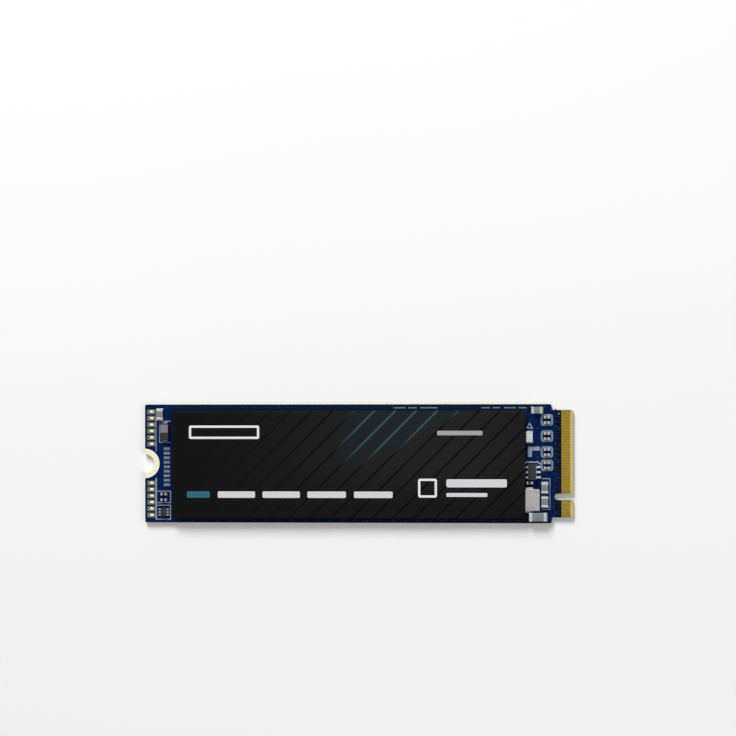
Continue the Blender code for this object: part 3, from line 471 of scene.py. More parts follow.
def join_rings(bm, one, two):
    """Faces between two rings that have equally many points."""
    faces = []
    for i in range(len(one)):
        j = (i + 1) % len(one)
        faces.append(bm.faces.new((one[i], one[j], two[j], two[i])))
    return faces


def add_prism(bm, outline, low, high, material=0):
    """A closed prism over an outline. All is in millimetres."""
    bottom = [bm.verts.new((x * MM, y * MM, low * MM)) for x, y in outline]
    top = [bm.verts.new((x * MM, y * MM, high * MM)) for x, y in outline]
    faces = [bm.faces.new(reversed(bottom)), bm.faces.new(top)]
    for face in faces + join_rings(bm, bottom, top):
        face.material_index = material


def disc(x, y, radius, steps):
    angles = [2 * math.pi * step / steps for step in range(steps)]
    return [(x + radius * math.cos(angle), y + radius * math.sin(angle)) for angle in angles]


CORNER_STEPS = 4


def rounded_ring(x, y, half_x, half_y, corner):
    points = []
    for side_x, side_y, start in ((1, 1, 0), (-1, 1, 90), (-1, -1, 180), (1, -1, 270)):
        for step in range(CORNER_STEPS + 1):
            angle = math.radians(start + 90 * step / CORNER_STEPS)
            points.append((x + side_x * (half_x - corner) + corner * math.cos(angle),
                           y + side_y * (half_y - corner) + corner * math.sin(angle)))
    return points


# A corner of a strip reaches out at most by 1 / LEAST_MITRE of its half width
LEAST_MITRE = 0.4


def strip(bm, points, width, low, high, material=0, closed=False):
    """A flat band of even width along points, all in millimetres."""
    count = len(points)
    rings = []
    for i, point in enumerate(points):
        here = Vector(point)
        ways = []
        if closed or i > 0:
            ways.append((here - Vector(points[i - 1])).normalized())
        if closed or i + 1 < count:
            ways.append((Vector(points[(i + 1) % count]) - here).normalized())
        way = sum(ways, Vector((0, 0))).normalized()
        side = Vector((-way.y, way.x))
        reach = width / 2 / max(LEAST_MITRE, side.dot(Vector((-ways[0].y, ways[0].x))))
        left, right = here + side * reach, here - side * reach
        corners = ((left, low), (right, low), (right, high), (left, high))
        rings.append([bm.verts.new((p.x * MM, p.y * MM, z * MM)) for p, z in corners])
    faces = []
    for i in range(count if closed else count - 1):
        faces += join_rings(bm, rings[i], rings[(i + 1) % count])
    if not closed:
        faces.append(bm.faces.new(rings[0]))
        faces.append(bm.faces.new(reversed(rings[-1])))
    for face in faces:
        face.material_index = material


# The board, with each face given what shows there. Its places are in millimetres

BOARD_FACES = (
    "mask", "gold", "pale gold", "gilding and highlight", "solder", "laminate", "thin mask", "bare", "bevel",
)
SCREW_END = -40.0
NOTCH_WALL_REACH = 1.85
RING_REACH = 2.8
MASK_STOPS = (36.7, 37.8)
TEST_PADS_STOP_X = -37.9
TEST_PADS_LEAST_Y = 3.0
OVER_FACE = 0.002

# How much of a face's normal points up or down: at least on level faces and slopes, and at most on walls
LEVEL = 0.97
SLOPE = 0.5
WALL = 0.3
CUT_SLACK = 1e-8


def board_face_material(normal, centre):
    """Which of the board's materials shows on a face, by where it lies."""
    x, y, z = centre
    lie = abs(normal.z)
    from_notch = math.hypot(x - SCREW_END, y)
    on_copper = z > SURFACE + OVER_FACE or z < UNDERSIDE - OVER_FACE
    # The ring and the notch wall take the bright cream gilding, partly a painted highlight
    if from_notch < RING_REACH:
        on_notch_wall = from_notch < NOTCH_WALL_REACH and lie <= LEVEL
        return "gilding and highlight" if on_copper or on_notch_wall else "mask"
    if lie > LEVEL and not on_copper:
        return "mask" if x < MASK_STOPS[0] else "thin mask" if x < MASK_STOPS[1] else "bare"
    if on_copper and (lie > LEVEL or lie < WALL):
        if x > MASK_STOPS[0]:
            return "gold"
        if x < TEST_PADS_STOP_X and abs(y) > TEST_PADS_LEAST_Y:
            return "pale gold"
        return "solder"
    return "bevel" if lie > SLOPE else "laminate"


def refined_board():
    bm = bmesh.new()
    bm.from_mesh(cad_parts["circuit_board"].data)
    bmesh.ops.remove_doubles(bm, verts=bm.verts, dist=WELD)
    for stop in MASK_STOPS:
        parts = list(bm.verts) + list(bm.edges) + list(bm.faces)
        bmesh.ops.bisect_plane(
            bm, geom=parts, dist=CUT_SLACK, plane_co=(stop * MM, 0, 0), plane_no=(1, 0, 0))
    for face in bm.faces:
        key = board_face_material(face.normal, face.calc_center_median() / MM)
        face.material_index = BOARD_FACES.index(key)
    mesh = new_mesh(bm, "board_fine", BOARD_FACES)
    mesh.shade_flat()
    add_piece("board_fine", mesh, ["circuit_board"])


# Label: the same sheet as the solid, in finer steps

LABEL_STEPS = 12
LABEL_EDGE_STEPS = 8
LABEL_FILM = 0.02 * MM
LABEL_SHEET = 0.12 * MM
LABEL_SAG = 0.05 * MM
END_DROOP = 0.06 * MM
EDGE_DROOP = 0.12 * MM
LEAST_LIP = 0.4 * MM
LID_FLANGE = 1.3 * MM

# What holds the label up, from the screw end on, and the half length that each holds level, in millimetres
LABEL_HOLDERS = (
    ("flash_chip_1", 9.0), ("flash_chip_2", 9.0), ("memory_chip", 6.65), ("controller_lid", 5.3),
    ("power_inductor_1", 9.0),
)


def eased(share):
    return share * share * (3 - 2 * share)


def between(start, stop, share):
    return start + (stop - start) * share


def label_supports():
    """Where each holder starts and stops along X, the height of the label's underside, and its half length.

    The last one reaches to the label's own end, as in the solid.
    """
    _, label_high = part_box("label")
    supports = []
    for node, half in LABEL_HOLDERS:
        low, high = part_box(node)
        left, right = low.x, high.x
        if node == "controller_lid":
            left += LID_FLANGE
            right -= LID_FLANGE
        if node == "power_inductor_1":
            right = label_high.x
        supports.append((left, right, high.z + LABEL_FILM, half * MM))
    return supports


def label_stations():
    """Places along X, each with the height of the label's underside and the half length held level there."""
    low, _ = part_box("label")
    supports = label_supports()
    start, _, top, half = supports[0]
    stations = []
    for step in range(LABEL_STEPS):
        share = 1 - step / LABEL_STEPS
        stations.append((between(start, low.x, share), top - END_DROOP * share ** 2, half))
    for index, (left, right, top, half) in enumerate(supports):
        stations += [(x, top, half) for x in (left, (left + right) / 2, right)]
        if index + 1 == len(supports):
            break
        next_left, _, next_top, next_half = supports[index + 1]
        for step in range(1, LABEL_STEPS):
            share = step / LABEL_STEPS
            x = between(right, next_left, share)
            height = between(top, next_top, eased(share)) - LABEL_SAG * math.sin(math.pi * share)
            stations.append((x, height, between(half, next_half, eased(share))))
    return stations


def label_row(half):
    """Places across the label, densest towards its free edges, each with how far it droops there."""
    low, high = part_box("label")
    low_hold = max(-half, low.y + LEAST_LIP)
    high_hold = min(half, high.y - LEAST_LIP)
    shares = [step / LABEL_EDGE_STEPS for step in range(LABEL_EDGE_STEPS + 1)]
    row = [(between(low_hold, low.y, share), share) for share in reversed(shares)]
    row.append(((low_hold + high_hold) / 2, 0.0))
    row += [(between(high_hold, high.y, share), share) for share in shares]
    return [(y, EDGE_DROOP * share ** 2) for y, share in row]


def fine_label():
    stations = label_stations()
    bm = bmesh.new()
    layers = []
    for rise in (0.0, LABEL_SHEET):
        grid = []
        for x, height, half in stations:
            grid.append([bm.verts.new((x, y, height + rise - droop)) for y, droop in label_row(half)])
        layers.append(grid)
    under, over = layers
    last, last_row = len(stations) - 1, len(under[0]) - 1
    for grid, material in ((under, 1), (over, 0)):
        for i in range(last):
            for j in range(last_row):
                face = bm.faces.new((grid[i][j], grid[i + 1][j], grid[i + 1][j + 1], grid[i][j + 1]))
                face.material_index = material
    rim = [(i, 0) for i in range(last)] + [(last, j) for j in range(last_row)]
    rim += [(i, last_row) for i in range(last, 0, -1)] + [(0, j) for j in range(last_row, 0, -1)]
    join_rings(bm, [under[i][j] for i, j in rim], [over[i][j] for i, j in rim])
    add_drawn(bm, "label_fine", ["label", "adhesive"], ["label"])


# Chips with a terminal at each end

GREY_CHIPS = (
    "tail_capacitor", "input_capacitor", "bulk_capacitor", "output_capacitor_1", "output_capacitor_2",
)

# Length of the terminals by the chip's length, in millimetres
TERMINALS = {1.0: 0.25, 1.6: 0.35, 2.0: 0.45, 3.2: 0.55}
BODY_INSET = 0.02 * MM
BODY_END_INSET = 0.1 * MM
MOST_SOFTNESS = 0.06 * MM
SOFTNESS_SHARE = 0.1

FILLET_ROOT = 0.02 * MM
FILLET_STEPS = 6
FILLET_TAPER = 0.12
CHIP_FILLET_WIDTH = 0.94
CHIP_FILLET_HEIGHT = 0.62
CHIP_FILLET_REACH = 0.11 * MM


def is_chip(node):
    return node != "polarised_capacitor" and any(word in node for word in ("capacitor", "resistor", "fuse"))


CHIP_NODES = [node for node in sorted(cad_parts) if is_chip(node)]


def chip_kind(node):
    if "resistor" in node:
        return "glaze"
    if node in GREY_CHIPS:
        return "grey ceramic"
    return "alumina" if "fuse" in node else "ceramic"


def chip_mesh(length, width, height, upright, kind):
    """A chip along X, or along Y where it is upright, standing on the origin."""
    terminal = TERMINALS[round(length / MM, 1)] * MM
    softness = min(MOST_SOFTNESS, width * SOFTNESS_SHARE)
    half, side = length / 2, width / 2
    body_half, body_side = half - BODY_END_INSET, side - BODY_INSET
    body_low = (-body_half, -body_side, BODY_INSET)
    body_high = (body_half, body_side, height - BODY_INSET)
    bm = bmesh.new()
    add_block(bm, body_low, body_high, 0, softness * 0.5)
    add_block(bm, (-half, -side, 0), (-half + terminal, side, height), 1, softness)
    add_block(bm, (half - terminal, -side, 0), (half, side, height), 1, softness)
    if upright:
        bmesh.ops.rotate(bm, verts=bm.verts, cent=(0, 0, 0), matrix=Matrix.Rotation(math.pi / 2, 3, "Z"))
    return mesh_of(bm, "chip", [kind, "tin"])


def add_fillet(bm, x, y, turn, half_width, height, reach):
    """A hollow solder fillet that climbs a terminal, leaning away along +X before it is turned."""
    profile = [(-FILLET_ROOT, 0.0), (reach, 0.0)]
    for step in range(1, FILLET_STEPS):
        angle = math.radians(90 * step / FILLET_STEPS)
        profile.append((reach * (1 - math.sin(angle)), height * (1 - math.cos(angle))))
    profile += [(0.0, height), (-FILLET_ROOT, height)]
    turned = Matrix.Rotation(turn, 3, "Z")
    sides = []
    for side in (-1, 1):
        row = []
        for along, up in profile:
            spread = half_width * (1.0 - FILLET_TAPER * (up / height))
            at = turned @ Vector((along, side * spread, up))
            row.append(bm.verts.new((x + at.x, y + at.y, COPPER_TOP * MM + at.z)))
        sides.append(row)
    bm.faces.new(reversed(sides[0]))
    bm.faces.new(sides[1])
    join_rings(bm, *sides)


def fine_chips():
    """Every chip, and a fillet at each of its ends. Chips of one size and kind share a mesh."""
    shared = {}
    joints = bmesh.new()
    for node in CHIP_NODES:
        low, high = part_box(node)
        size, middle = high - low, (low + high) / 2
        upright = size.y > size.x
        length, width = max(size.x, size.y), min(size.x, size.y)
        kind = chip_kind(node)
        key = (round(length, 6), round(width, 6), upright, kind)
        if key not in shared:
            shared[key] = chip_mesh(length, width, size.z, upright, kind)
        add_piece(node + "_fine", shared[key], [node], (middle.x, middle.y, low.z))
        for way in (0, 1):
            turn = math.pi * way + (math.pi / 2 if upright else 0)
            x = middle.x + math.cos(turn) * (length / 2)
            y = middle.y + math.sin(turn) * (length / 2)
            half_width = width / 2 * CHIP_FILLET_WIDTH
            add_fillet(joints, x, y, turn, half_width, size.z * CHIP_FILLET_HEIGHT, CHIP_FILLET_REACH)
    add_drawn(joints, "solder_fillets", ["solder"], smooth_angle=50)


# Packages, blocks and leaded parts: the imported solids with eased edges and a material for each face

FLAT_ANGLE = math.radians(1)
EASED_ANGLE = math.radians(30)

# How high or how deep a part's second material starts or stops, at or just beside its edge, in millimetres
CARRIER_TOP = 0.262
CRYSTAL_WALL_TOP = 0.352
CLIP_DEPTH = 0.049
SWITCH_LEAD_DEPTH = 0.62
SENSOR_LEAD_DEPTH = 0.25
FOOT_DEPTH = 0.0149


def one_material(centre, low, high):
    return 0


def above(height_mm):
    """Picks the second material for faces that lie higher than this over a solid's foot."""
    return lambda centre, low, high: int(centre.z > low.z + height_mm * MM)


def near_ends(depth_mm, *axes):
    """Picks the second material for faces that lie this near to a solid's ends along the axes."""
    def pick(centre, low, high):
        gaps = [gap for i in axes for gap in (centre[i] - low[i], high[i] - centre[i])]
        return int(min(gaps) < depth_mm * MM)

    return pick


def refined(node, softness_mm, pick, keys, segments=2):
    """A copy of a solid's mesh with its flat faces joined, its edges eased and its faces given materials."""
    bm = bmesh.new()
    bm.from_mesh(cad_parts[node].data)
    bmesh.ops.remove_doubles(bm, verts=bm.verts, dist=WELD)
    bmesh.ops.dissolve_limit(bm, angle_limit=FLAT_ANGLE, verts=bm.verts, edges=bm.edges)
    low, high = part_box(node)
    for face in bm.faces:
        face.material_index = pick(face.calc_center_median(), low, high)
    mesh = new_mesh(bm, node + "_fine", keys)
    mesh.shade_smooth()
    piece = add_piece(node + "_fine", mesh, [node])
    bevel = piece.modifiers.new("eased edges", "BEVEL")
    bevel.width = softness_mm * MM
    bevel.segments = segments
    bevel.limit_method = "ANGLE"
    bevel.angle_limit = EASED_ANGLE
    bevel.harden_normals = True


def fine_parts():
    for node in ("flash_chip_1", "flash_chip_2", "memory_chip"):
        refined(node, 0.02, above(CARRIER_TOP), ["carrier", "mould"])
    refined("controller", 0.02, one_material, ["carrier"])
    refined("controller_die", 0.01, one_material, ["silicon"])
    refined("controller_lid", 0.06, one_material, ["nickel"], 3)
    for node in ("power_chip", "start_chip"):
        refined(node, 0.006, near_ends(FOOT_DEPTH, 0, 1), ["mould", "tin"])
    refined("clock_crystal", 0.02, above(CRYSTAL_WALL_TOP), ["ceramic", "crystal lid"])
    for node in ("input_inductor", "power_inductor_1", "power_inductor_2"):
        refined(node, 0.02, near_ends(CLIP_DEPTH, 1), ["powder", "tin"])
    # The polarised capacitor's clips take the darker tin, a painted shade
    refined("polarised_capacitor", 0.02, near_ends(CLIP_DEPTH, 1), ["mould", "darkened tin"])
    refined("load_switch", 0.02, near_ends(SWITCH_LEAD_DEPTH, 0), ["mould", "tin"])
    refined("temperature_sensor", 0.015, near_ends(SENSOR_LEAD_DEPTH, 0), ["mould", "tin"])


# Solder balls under the packages: pitch and radius in millimetres, columns and rows, and those left free

BALL_GRIDS = {
    "flash_chip_1": (1.0, 0.24, 11, 17, range(4, 7), range(5, 12)),
    "flash_chip_2": (1.0, 0.24, 11, 17, range(4, 7), range(5, 12)),
    "memory_chip": (0.8, 0.2, 9, 16, range(3, 6), range(16)),
    "controller": (0.65, 0.18, 20, 20, (), ()),
}


def ball_places(node):
    pitch, _, columns, rows, free_columns, free_rows = BALL_GRIDS[node]
    low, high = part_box(node)
    x, y = (low.x + high.x) / 2, (low.y + high.y) / 2
    for i in range(columns):
        for j in range(rows):
            if i not in free_columns or j not in free_rows:
                yield x + (i - (columns - 1) / 2) * pitch * MM, y + (j - (rows - 1) / 2) * pitch * MM


def solder_balls(node):
    """Balls squashed between the board and the package."""
    radius = BALL_GRIDS[node][1]
    low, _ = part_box(node)
    foot = SURFACE * MM
    one = bmesh.new()
    bmesh.ops.create_uvsphere(one, u_segments=10, v_segments=6, radius=1.0)
    ball = [(v.co.x * radius * MM, v.co.y * radius * MM, v.co.z * (low.z - foot) / 2) for v in one.verts]
    faces = [[v.index for v in face.verts] for face in one.faces]
    one.free()
    middle = (foot + low.z) / 2
    all_points, all_faces = [], []
    for x, y in ball_places(node):
        start = len(all_points)
        all_points += [(x + a, y + b, middle + c) for a, b, c in ball]
        all_faces += [[start + i for i in face] for face in faces]
    name = "balls_under_" + node
    mesh = bpy.data.meshes.new(name)
    mesh.from_pydata(all_points, [], all_faces)
    mesh.materials.append(MATERIALS["solder"])
    mesh.shade_smooth()
    add_piece(name, mesh)


# Copper under the mask, vias and print. Its places are in millimetres

TRACE_WIDTH = 0.13
CONTACT_PITCH = 0.5
TOP_ROW_FIRST, TOP_ROW_PLACES = 9.25, 38
LOWER_ROW_FIRST, LOWER_ROW_PLACES = 9.0, 37
KEY_NOTCH_Y = -6.125
KEY_NOTCH_CLEAR = 0.895
COUPLING_PAIRS = (8.1, 5.1, 2.15, -0.3)
PAIR_HALF = 0.5
PAIR_REACH = 0.9
TEST_PAD_FIRST = 3.645
TEST_PAD_PITCH = 1.2
TEST_PAD_Y = [side * (TEST_PAD_FIRST + TEST_PAD_PITCH * i) for i in range(6) for side in (1, -1)]

VIA_RADIUS_TOP = 0.21
VIA_RADIUS_BELOW = 0.2
VIA_CAP_RADIUS = 0.09
EDGE_VIAS = 31
EDGE_VIA_PITCH = 2.35
TOP_VIA_COLUMNS = (
    (-34.4, (9.2, 7.6, 3.4, 2.4, -2.0, -3.0, -4.4)),
    (36.75, (9.9, 6.9, 3.75, 1.0, -1.9, -3.1, -4.3, -8.9)),
    (37.2, (6.4, 0.6, -2.6)),
    (33.4, (6.6, 3.2, 1.2, 0.5)),
)
TOP_LONE_VIAS = (
    (34.0, 7.0), (34.3, 3.5), (36.3, -5.0), (36.35, -8.0), (35.9, -10.3), (30.9, 7.9), (31.3, 9.9),
)

INKS = ["silk", "faint silk"]
FAINT = 1
EDGE_DASHES = (
    (23.0, 24.6), (25.1, 26.5), (27.2, 29.4), (29.9, 31.4), (6.7, 8.9), (9.4, 11.0), (11.6, 14.9),
)

DOME_X = -38.72
DOME_HALF = (0.38 * MM, 0.2 * MM, 0.06 * MM)


def levels(up, rise):
    """Bottom and top of what stands on the board's upper face (up is 1) or lower face (up is -1)."""
    face = SURFACE if up > 0 else UNDERSIDE
    return sorted((face - ROOT * up, face + rise * up))


def pen(bm, up, rise):
    """A function that draws lines on the upper or lower face."""
    low, high = levels(up, rise)

    def line(points, width=TRACE_WIDTH, closed=False, ink=0):
        strip(bm, points, width, low, high, ink, closed)

    return line


def dog_leg(start, bend, stop, y, next_y):
    """A trace that runs from start to stop along X and goes over from y to next_y at 45 degrees."""
    way = 1 if stop > start else -1
    return [(start, y), (bend, y), (bend + way * abs(next_y - y), next_y), (stop, next_y)]


def contact_rows(first, count):
    """Places across the board of one face's contacts, without those that the key notch takes."""
    rows = [first - i * CONTACT_PITCH for i in range(count)]
    return [y for y in rows if abs(y - KEY_NOTCH_Y) > KEY_NOTCH_CLEAR]


def top_traces():
    bm = bmesh.new()
    line = pen(bm, 1, TRACE_RISE)
    for pair in COUPLING_PAIRS:
        for side in (PAIR_HALF, -PAIR_HALF):
            y = pair + side
            contact = round((y - TOP_ROW_FIRST) / CONTACT_PITCH) * CONTACT_PITCH + TOP_ROW_FIRST
            line(dog_leg(35.6, 36.2, 37.9, y, contact))
            line(dog_leg(34.7, 34.2, 20.4, y, pair + side * 0.5))
    for y in contact_rows(TOP_ROW_FIRST, TOP_ROW_PLACES):
        if not any(abs(y - pair) < PAIR_REACH for pair in COUPLING_PAIRS):
            line([(37.9, y), (36.6 + 0.5 * ((round(y * 2) % 3) / 2), y)])
    for y in TEST_PAD_Y:
        line(dog_leg(-38.05, -37.6, -33.0, y, y * 0.86))
    for y in (3.4, 2.9, 2.4, -2.0, -2.5, -3.0):
        line([(-34.9, y), (-31.5, y)])
    line([(33.3, -3.55), (33.9, -3.55), (34.6, -4.2), (34.6, -5.0)], 0.25)
    line([(31.95, 6.1), (31.95, 7.6), (32.6, 8.3), (32.6, 9.3)], 0.5)
    line([(32.45, 1.6), (32.45, 3.6)], 0.5)
    line([(31.6, -9.85), (29.5, -9.85)], 0.6)
    for i in range(9):
        line([(-34.0 + i * 7.0, 10.45), (-30.5 + i * 7.0, 10.45)], 0.16)
    add_drawn(bm, "copper_under_mask_top", ["trace"])


def edge_vias(start, rows):
    return [(start + i * EDGE_VIA_PITCH, y) for i in range(EDGE_VIAS) for y in rows]


def add_vias(bm, places, up, radius):
    """Tented vias: a low ring of copper under the mask with a dark cap over the hole in the middle."""
    face = SURFACE if up > 0 else UNDERSIDE
    cap_low, cap_high = sorted((face, face + TRACE_RISE * up + VIA_CAP_RISE * up))
    for x, y in places:
        add_prism(bm, disc(x, y, radius, 14), *levels(up, TRACE_RISE))
        add_prism(bm, disc(x, y, VIA_CAP_RADIUS, 10), cap_low, cap_high, 1)


def top_vias():
    bm = bmesh.new()
    places = edge_vias(-35.8, (10.55, -10.62))
    places += [(x, y) for x, rows in TOP_VIA_COLUMNS for y in rows]
    places += TOP_LONE_VIAS
    add_vias(bm, places, 1, VIA_RADIUS_TOP)
    add_drawn(bm, "vias_top", ["trace", "hole"])


def top_print():
    bm = bmesh.new()
    line = pen(bm, 1, PRINT_RISE)

    # Screw end: lines beside the test pads, boxes round the small parts and a column of dashes
    line([(-37.9, 9.0), (-37.9, 2.3)], 0.2, ink=FAINT)
    line([(-37.9, -2.7), (-37.9, -10.5)], 0.26)
    line([(-37.8, -5.17), (-35.2, -5.17), (-35.2, -7.32), (-37.8, -7.32)], 0.15)
    line([(-37.8, -7.79), (-35.2, -7.79), (-35.2, -10.4), (-37.8, -10.4)], 0.15)
    line([(-37.25, 7.9), (-35.2, 7.9)], 0.2)
    line([(-37.25, 7.95), (-37.25, 3.95), (-35.2, 3.95)], 0.14)
    for i in range(9):
        line([(-36.45, 2.75 - i * 0.84), (-35.3, 2.75 - i * 0.84)], 0.5, ink=FAINT)

    # Contact end: rings round the coupling pairs, a dot, a triangle, a corner mark and lines beside the parts
    for y in COUPLING_PAIRS:
        line(rounded_ring(35.15, y, 0.96, 0.9, 0.34), 0.36, True, FAINT)
    line([(37.25, 9.26), (37.45, 9.26)], 0.3)
    line([(31.45, 6.6), (31.95, 7.45), (32.45, 6.6)], 0.2, True)
    line([(33.85, 2.8), (32.0, 2.8), (32.0, 1.25)], 0.74)
    line([(30.95, -0.15), (31.3, 0.3), (33.5, 0.3), (33.95, -0.1)], 0.3)
    line([(34.2, -2.75), (35.7, -2.75), (35.7, -8.45), (34.2, -8.45)], 0.14)
    line([(31.4, -8.75), (33.9, -8.75)], 0.12)

    for start, stop in EDGE_DASHES:
        line([(start, 10.36), (stop, 10.36)], 0.2, ink=FAINT)
    add_drawn(bm, "board_print_top", INKS)


def pad_domes():
    """A low dome of solder in the middle of each test pad, in a bright cream that is partly a painted
    highlight.
    """
    bm = bmesh.new()
    for y in TEST_PAD_Y:
        made = bmesh.ops.create_uvsphere(bm, u_segments=16, v_segments=8, radius=1.0)["verts"]
        bmesh.ops.scale(bm, vec=DOME_HALF, verts=made)
        bmesh.ops.translate(bm, vec=(DOME_X * MM, y * MM, COPPER_TOP * MM), verts=made)
    add_drawn(bm, "solder_on_test_pads", ["gilding and highlight"], smooth_angle=60)


# The bare underside: traces, vias, a few test points and print. Its places are in millimetres

VIA_COLUMNS_BELOW = (-33.2, -26.5, -19.3, -12.3, -5.4, -0.6, 4.1, 12.0, 20.0, 25.0)
RINGED_POINTS = (
    (-30.6, 7.6), (-30.6, 5.9), (-30.6, -6.7), (16.4, 7.9), (16.4, 6.2), (28.3, 7.3), (28.3, -4.9),
)
TEST_POINTS = (
    (-30.6, 7.6), (-30.6, 5.9), (-30.6, -6.7), (-22.9, 8.4), (-8.9, 7.7), (8.0, 8.6),
    (16.4, 7.9), (16.4, 6.2), (22.6, -8.1), (28.3, 7.3), (28.3, -4.9), (31.0, 2.2),
)
TEST_POINT_RADIUS = 0.5
TEST_POINT_LEVELS = (0.012, 0.05)
POINT_RING_RADIUS = 0.78
PACKAGE_MARKS_X = (-26.3, -12.35)
PACKAGE_MARK_HALF_X, PACKAGE_MARK_HALF_Y = 6.2, 9.2
PACKAGE_MARK_ARM = 1.4


def copper_below():
    copper = bmesh.new()
    line = pen(copper, -1, TRACE_RISE)
    for k, y in enumerate(contact_rows(LOWER_ROW_FIRST, LOWER_ROW_PLACES)):
        if k % 3 != 2:
            line(dog_leg(37.5, 33.5, 16.0 - (k % 7) * 2.4, y, y * 0.88))
    for k in range(16):
        y = -8.6 + k * 1.12
        start = -5.0 - (k % 4) * 1.7
        line(dog_leg(start, start - 6.0, -29.5 + (k % 3) * 1.5, y, y + 0.5))
    for k in range(10):
        y = -7.2 + k * 1.6
        line([(14.0, y), (4.0 - (k % 3), y), (3.0 - (k % 3), y + 0.5), (-3.2, y + 0.5)])

    places = edge_vias(-36.5, (10.5, -10.5))
    for column, x in enumerate(VIA_COLUMNS_BELOW):
        places += [(x + 0.55 * ((row + column) % 2), -9.2 + row * 1.08) for row in range(18)]
    for row in range(9):
        places += [(8.8 + column * 0.8, -3.2 + row * 0.8) for column in range(9)]
    add_vias(copper, places, -1, VIA_RADIUS_BELOW)
    add_drawn(copper, "copper_under_mask_below", ["trace", "hole"])


def test_points_below():
    points = bmesh.new()
    for x, y in TEST_POINTS:
        add_prism(points, disc(x, y, TEST_POINT_RADIUS, 24), *TEST_POINT_LEVELS)
    add_drawn(points, "test_points_below", ["gold"])


def print_below():
    ink = bmesh.new()
    line = pen(ink, -1, PRINT_RISE)
    for x, y in RINGED_POINTS:
        line(disc(x, y, POINT_RING_RADIUS, 24), 0.12, True)
    for x in PACKAGE_MARKS_X:
        for side_x in (-1, 1):
            for side_y in (-1, 1):
                corner_x, corner_y = x + side_x * PACKAGE_MARK_HALF_X, side_y * PACKAGE_MARK_HALF_Y
                arm_x = x + side_x * (PACKAGE_MARK_HALF_X - PACKAGE_MARK_ARM)
                arm_y = side_y * (PACKAGE_MARK_HALF_Y - PACKAGE_MARK_ARM)
                line([(arm_x, corner_y), (corner_x, corner_y), (corner_x, arm_y)])
    line([(34.9, 9.6), (34.9, -9.6)], 0.12)
    add_drawn(ink, "board_print_below", ["silk"])


# The polarised capacitor's end band, and the joints at clips and leads, in metres

BAND_SIDE_INSET = 0.1 * MM
BAND_START, BAND_STOP = 1.75 * MM, 0.28 * MM
BAND_ROOT, BAND_RISE = 0.01 * MM, 0.006 * MM
CLIP_FILLET_HEIGHT = 0.3 * MM
LEAD_FILLET_HEIGHT = 0.12 * MM
LEAD_FILLET_REACH = 0.14 * MM

# Reach, half width and material of the joints at each end of a part, and pitch and half width at its leads
CLIP_JOINTS = {
    "input_inductor": (0.22 * MM, 0.75 * MM, "solder"),
    "power_inductor_1": (0.2 * MM, 0.75 * MM, "solder"),
    "power_inductor_2": (0.2 * MM, 0.75 * MM, "solder"),
    # The polarised capacitor's joints take the darker tin, a painted shade
    "polarised_capacitor": (0.2 * MM, 0.5 * MM, "darkened tin"),
}
LEAD_JOINTS = {"load_switch": (0.95 * MM, 0.2 * MM), "temperature_sensor": (0.5 * MM, 0.125 * MM)}


def polarity_band():
    bm = bmesh.new()
    low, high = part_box("polarised_capacitor")
    band_low = (low.x + BAND_SIDE_INSET, high.y - BAND_START, high.z - BAND_ROOT)
    band_high = (high.x - BAND_SIDE_INSET, high.y - BAND_STOP, high.z + BAND_RISE)
    add_block(bm, band_low, band_high)
    add_drawn(bm, "polarity_band", ["band"])


def part_joints():
    joints = {"solder": bmesh.new(), "darkened tin": bmesh.new()}
    for node, (reach, half, key) in CLIP_JOINTS.items():
        low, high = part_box(node)
        x = (low.x + high.x) / 2
        add_fillet(joints[key], x, high.y, math.pi / 2, half, CLIP_FILLET_HEIGHT, reach)
        add_fillet(joints[key], x, low.y, -math.pi / 2, half, CLIP_FILLET_HEIGHT, reach)
    for node, (pitch, half) in LEAD_JOINTS.items():
        low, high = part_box(node)
        middle = (low.y + high.y) / 2
        for y in (middle - pitch, middle, middle + pitch):
            for x, turn in ((high.x, 0.0), (low.x, math.pi)):
                add_fillet(joints["solder"], x, y, turn, half, LEAD_FILLET_HEIGHT, LEAD_FILLET_REACH)
    add_drawn(joints["solder"], "solder_joints", ["solder"], smooth_angle=50)
    add_drawn(joints["darkened tin"], "darkened_joints", ["darkened tin"], smooth_angle=50)


# Floor, light and camera

BACKDROP = (0.93, 0.935, 0.94)
BACKDROP_LIGHT = 0.42
FLOOR_HALF = 4.0
FLOOR_DROP = 0.05 * MM

# How far from the object the floor starts to take the backdrop's colour and has it whole, in millimetres
FLOOR_NEAR = 70.0
FLOOR_FAR = 240.0


def seen_or_mirrored(tree):
    """1 on the rays that show the backdrop: camera, glossy and transmission rays."""
    path = tree.nodes.new("ShaderNodeLightPath")
    total = path.outputs["Is Camera Ray"]
    for name in ("Is Glossy Ray", "Is Transmission Ray"):
        node = tree.nodes.new("ShaderNodeMath")
        node.operation = "MAXIMUM"
        tree.links.new(total, node.inputs[0])
        tree.links.new(path.outputs[name], node.inputs[1])
        total = node.outputs[0]
    return total


def floor_material():
    """Pale and matt, and further off the plain colour of the backdrop."""
    g = Graph("pale floor")
    tone = g.mix(g.noise(0.004, 2.0), (0.83, 0.83, 0.83), (0.87, 0.87, 0.87))
    material = g.finish(tone, 0.7, 0.0, 0.2)
    x, y, _ = g.axes()
    share = g.math("MULTIPLY", g.ramp(g.hypot(x, y), FLOOR_NEAR, FLOOR_FAR), seen_or_mirrored(g.tree))
    glow = g.node("ShaderNodeEmission")
    glow.inputs["Color"].default_value = (*BACKDROP, 1.0)
    blend = g.node("ShaderNodeMixShader")
    g.feed(blend.inputs["Fac"], share)
    g.feed(blend.inputs[1], g.shader.outputs[0])
    g.feed(blend.inputs[2], glow.outputs[0])
    g.feed(g.tree.nodes["Material Output"].inputs["Surface"], blend.outputs[0])
    return material


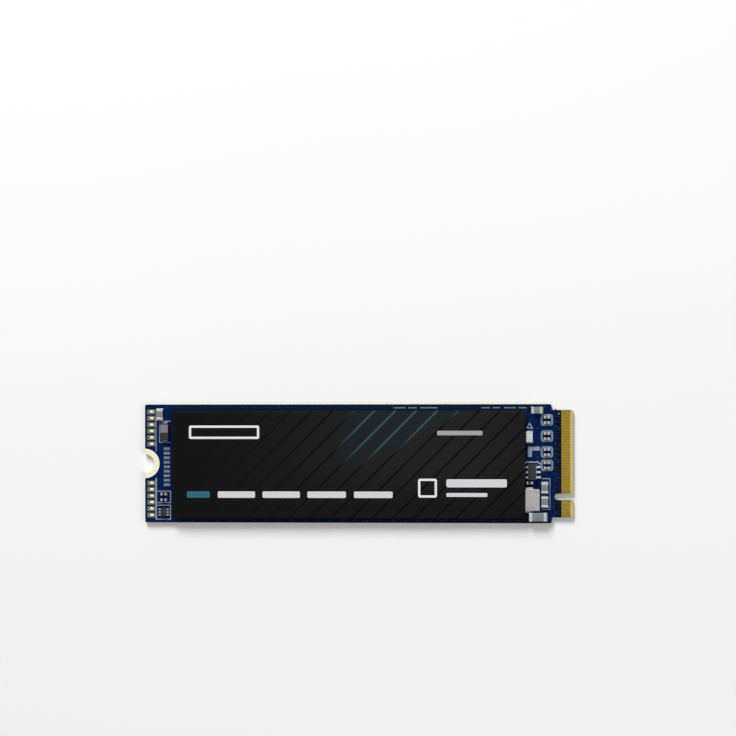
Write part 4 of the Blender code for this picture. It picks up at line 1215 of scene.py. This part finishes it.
def stage():
    bm = bmesh.new()
    bmesh.ops.create_grid(bm, x_segments=2, y_segments=2, size=FLOOR_HALF)
    mesh = new_mesh(bm, "floor", ())
    mesh.materials.append(floor_material())
    floor = bpy.data.objects.new("floor", mesh)
    floor.location = (0, 0, -FLOOR_DROP)
    bpy.context.scene.collection.objects.link(floor)


def lamp(name, place, size, power):
    """A square lamp that faces the origin."""
    data = bpy.data.lights.new(name, "AREA")
    data.shape = "SQUARE"
    data.size = size
    data.energy = power
    light = bpy.data.objects.new(name, data)
    light.location = place
    light.rotation_mode = "QUATERNION"
    light.rotation_quaternion = (-Vector(place)).to_track_quat("-Z", "Y")
    bpy.context.scene.collection.objects.link(light)


def lights():
    lamp("key", (-0.22, 0.76, 0.56), 0.38, 9.7)
    lamp("fill", (0.5, -0.15, 0.38), 0.4, 0.8)
    world = bpy.data.worlds.new("studio")
    world.use_nodes = True
    tree = world.node_tree
    background = tree.nodes["Background"]
    background.inputs["Color"].default_value = (*BACKDROP, 1.0)
    pick = tree.nodes.new("ShaderNodeMapRange")
    tree.links.new(seen_or_mirrored(tree), pick.inputs["Value"])
    pick.inputs["To Min"].default_value = BACKDROP_LIGHT
    pick.inputs["To Max"].default_value = 1.0
    tree.links.new(pick.outputs[0], background.inputs["Strength"])
    bpy.context.scene.world = world


IMAGE = 736
OBJECT_AT = (357.5, 463.6)
PIXELS_PER_MM = 5.385
LENS = 176.0
SENSOR = 36.0
YAW = math.radians(6)
ROLL = math.radians(-0.12)
AIM_HEIGHT = 1.0
CLIP_START = 0.01


def camera():
    """Nearly square to the label, a little from the contact end, at the photograph's scale."""
    data = bpy.data.cameras.new("camera")
    data.lens = LENS
    data.sensor_width = SENSOR
    data.clip_start = CLIP_START
    view = bpy.data.objects.new("camera", data)
    distance = IMAGE / PIXELS_PER_MM * MM * LENS / SENSOR
    right = Vector((math.cos(YAW), 0, -math.sin(YAW)))
    up = Vector((0, 1, 0))
    back = right.cross(up)
    middle = Vector((0, 0, AIM_HEIGHT * MM))
    off_right = (IMAGE / 2 - OBJECT_AT[0]) / PIXELS_PER_MM * MM
    off_up = (OBJECT_AT[1] - IMAGE / 2) / PIXELS_PER_MM * MM
    view.location = middle + right * off_right + up * off_up + back * distance
    view.rotation_mode = "QUATERNION"
    turned = Matrix((right, up, back)).transposed() @ Matrix.Rotation(ROLL, 3, "Z")
    view.rotation_quaternion = turned.to_quaternion()
    bpy.context.scene.collection.objects.link(view)
    bpy.context.scene.camera = view


def main():
    bpy.context.scene.view_settings.view_transform = "Standard"
    refined_board()
    fine_label()
    fine_chips()
    fine_parts()
    for node in BALL_GRIDS:
        solder_balls(node)
    top_traces()
    top_vias()
    top_print()
    pad_domes()
    copper_below()
    test_points_below()
    print_below()
    polarity_band()
    part_joints()
    stage()
    lights()
    camera()


main()
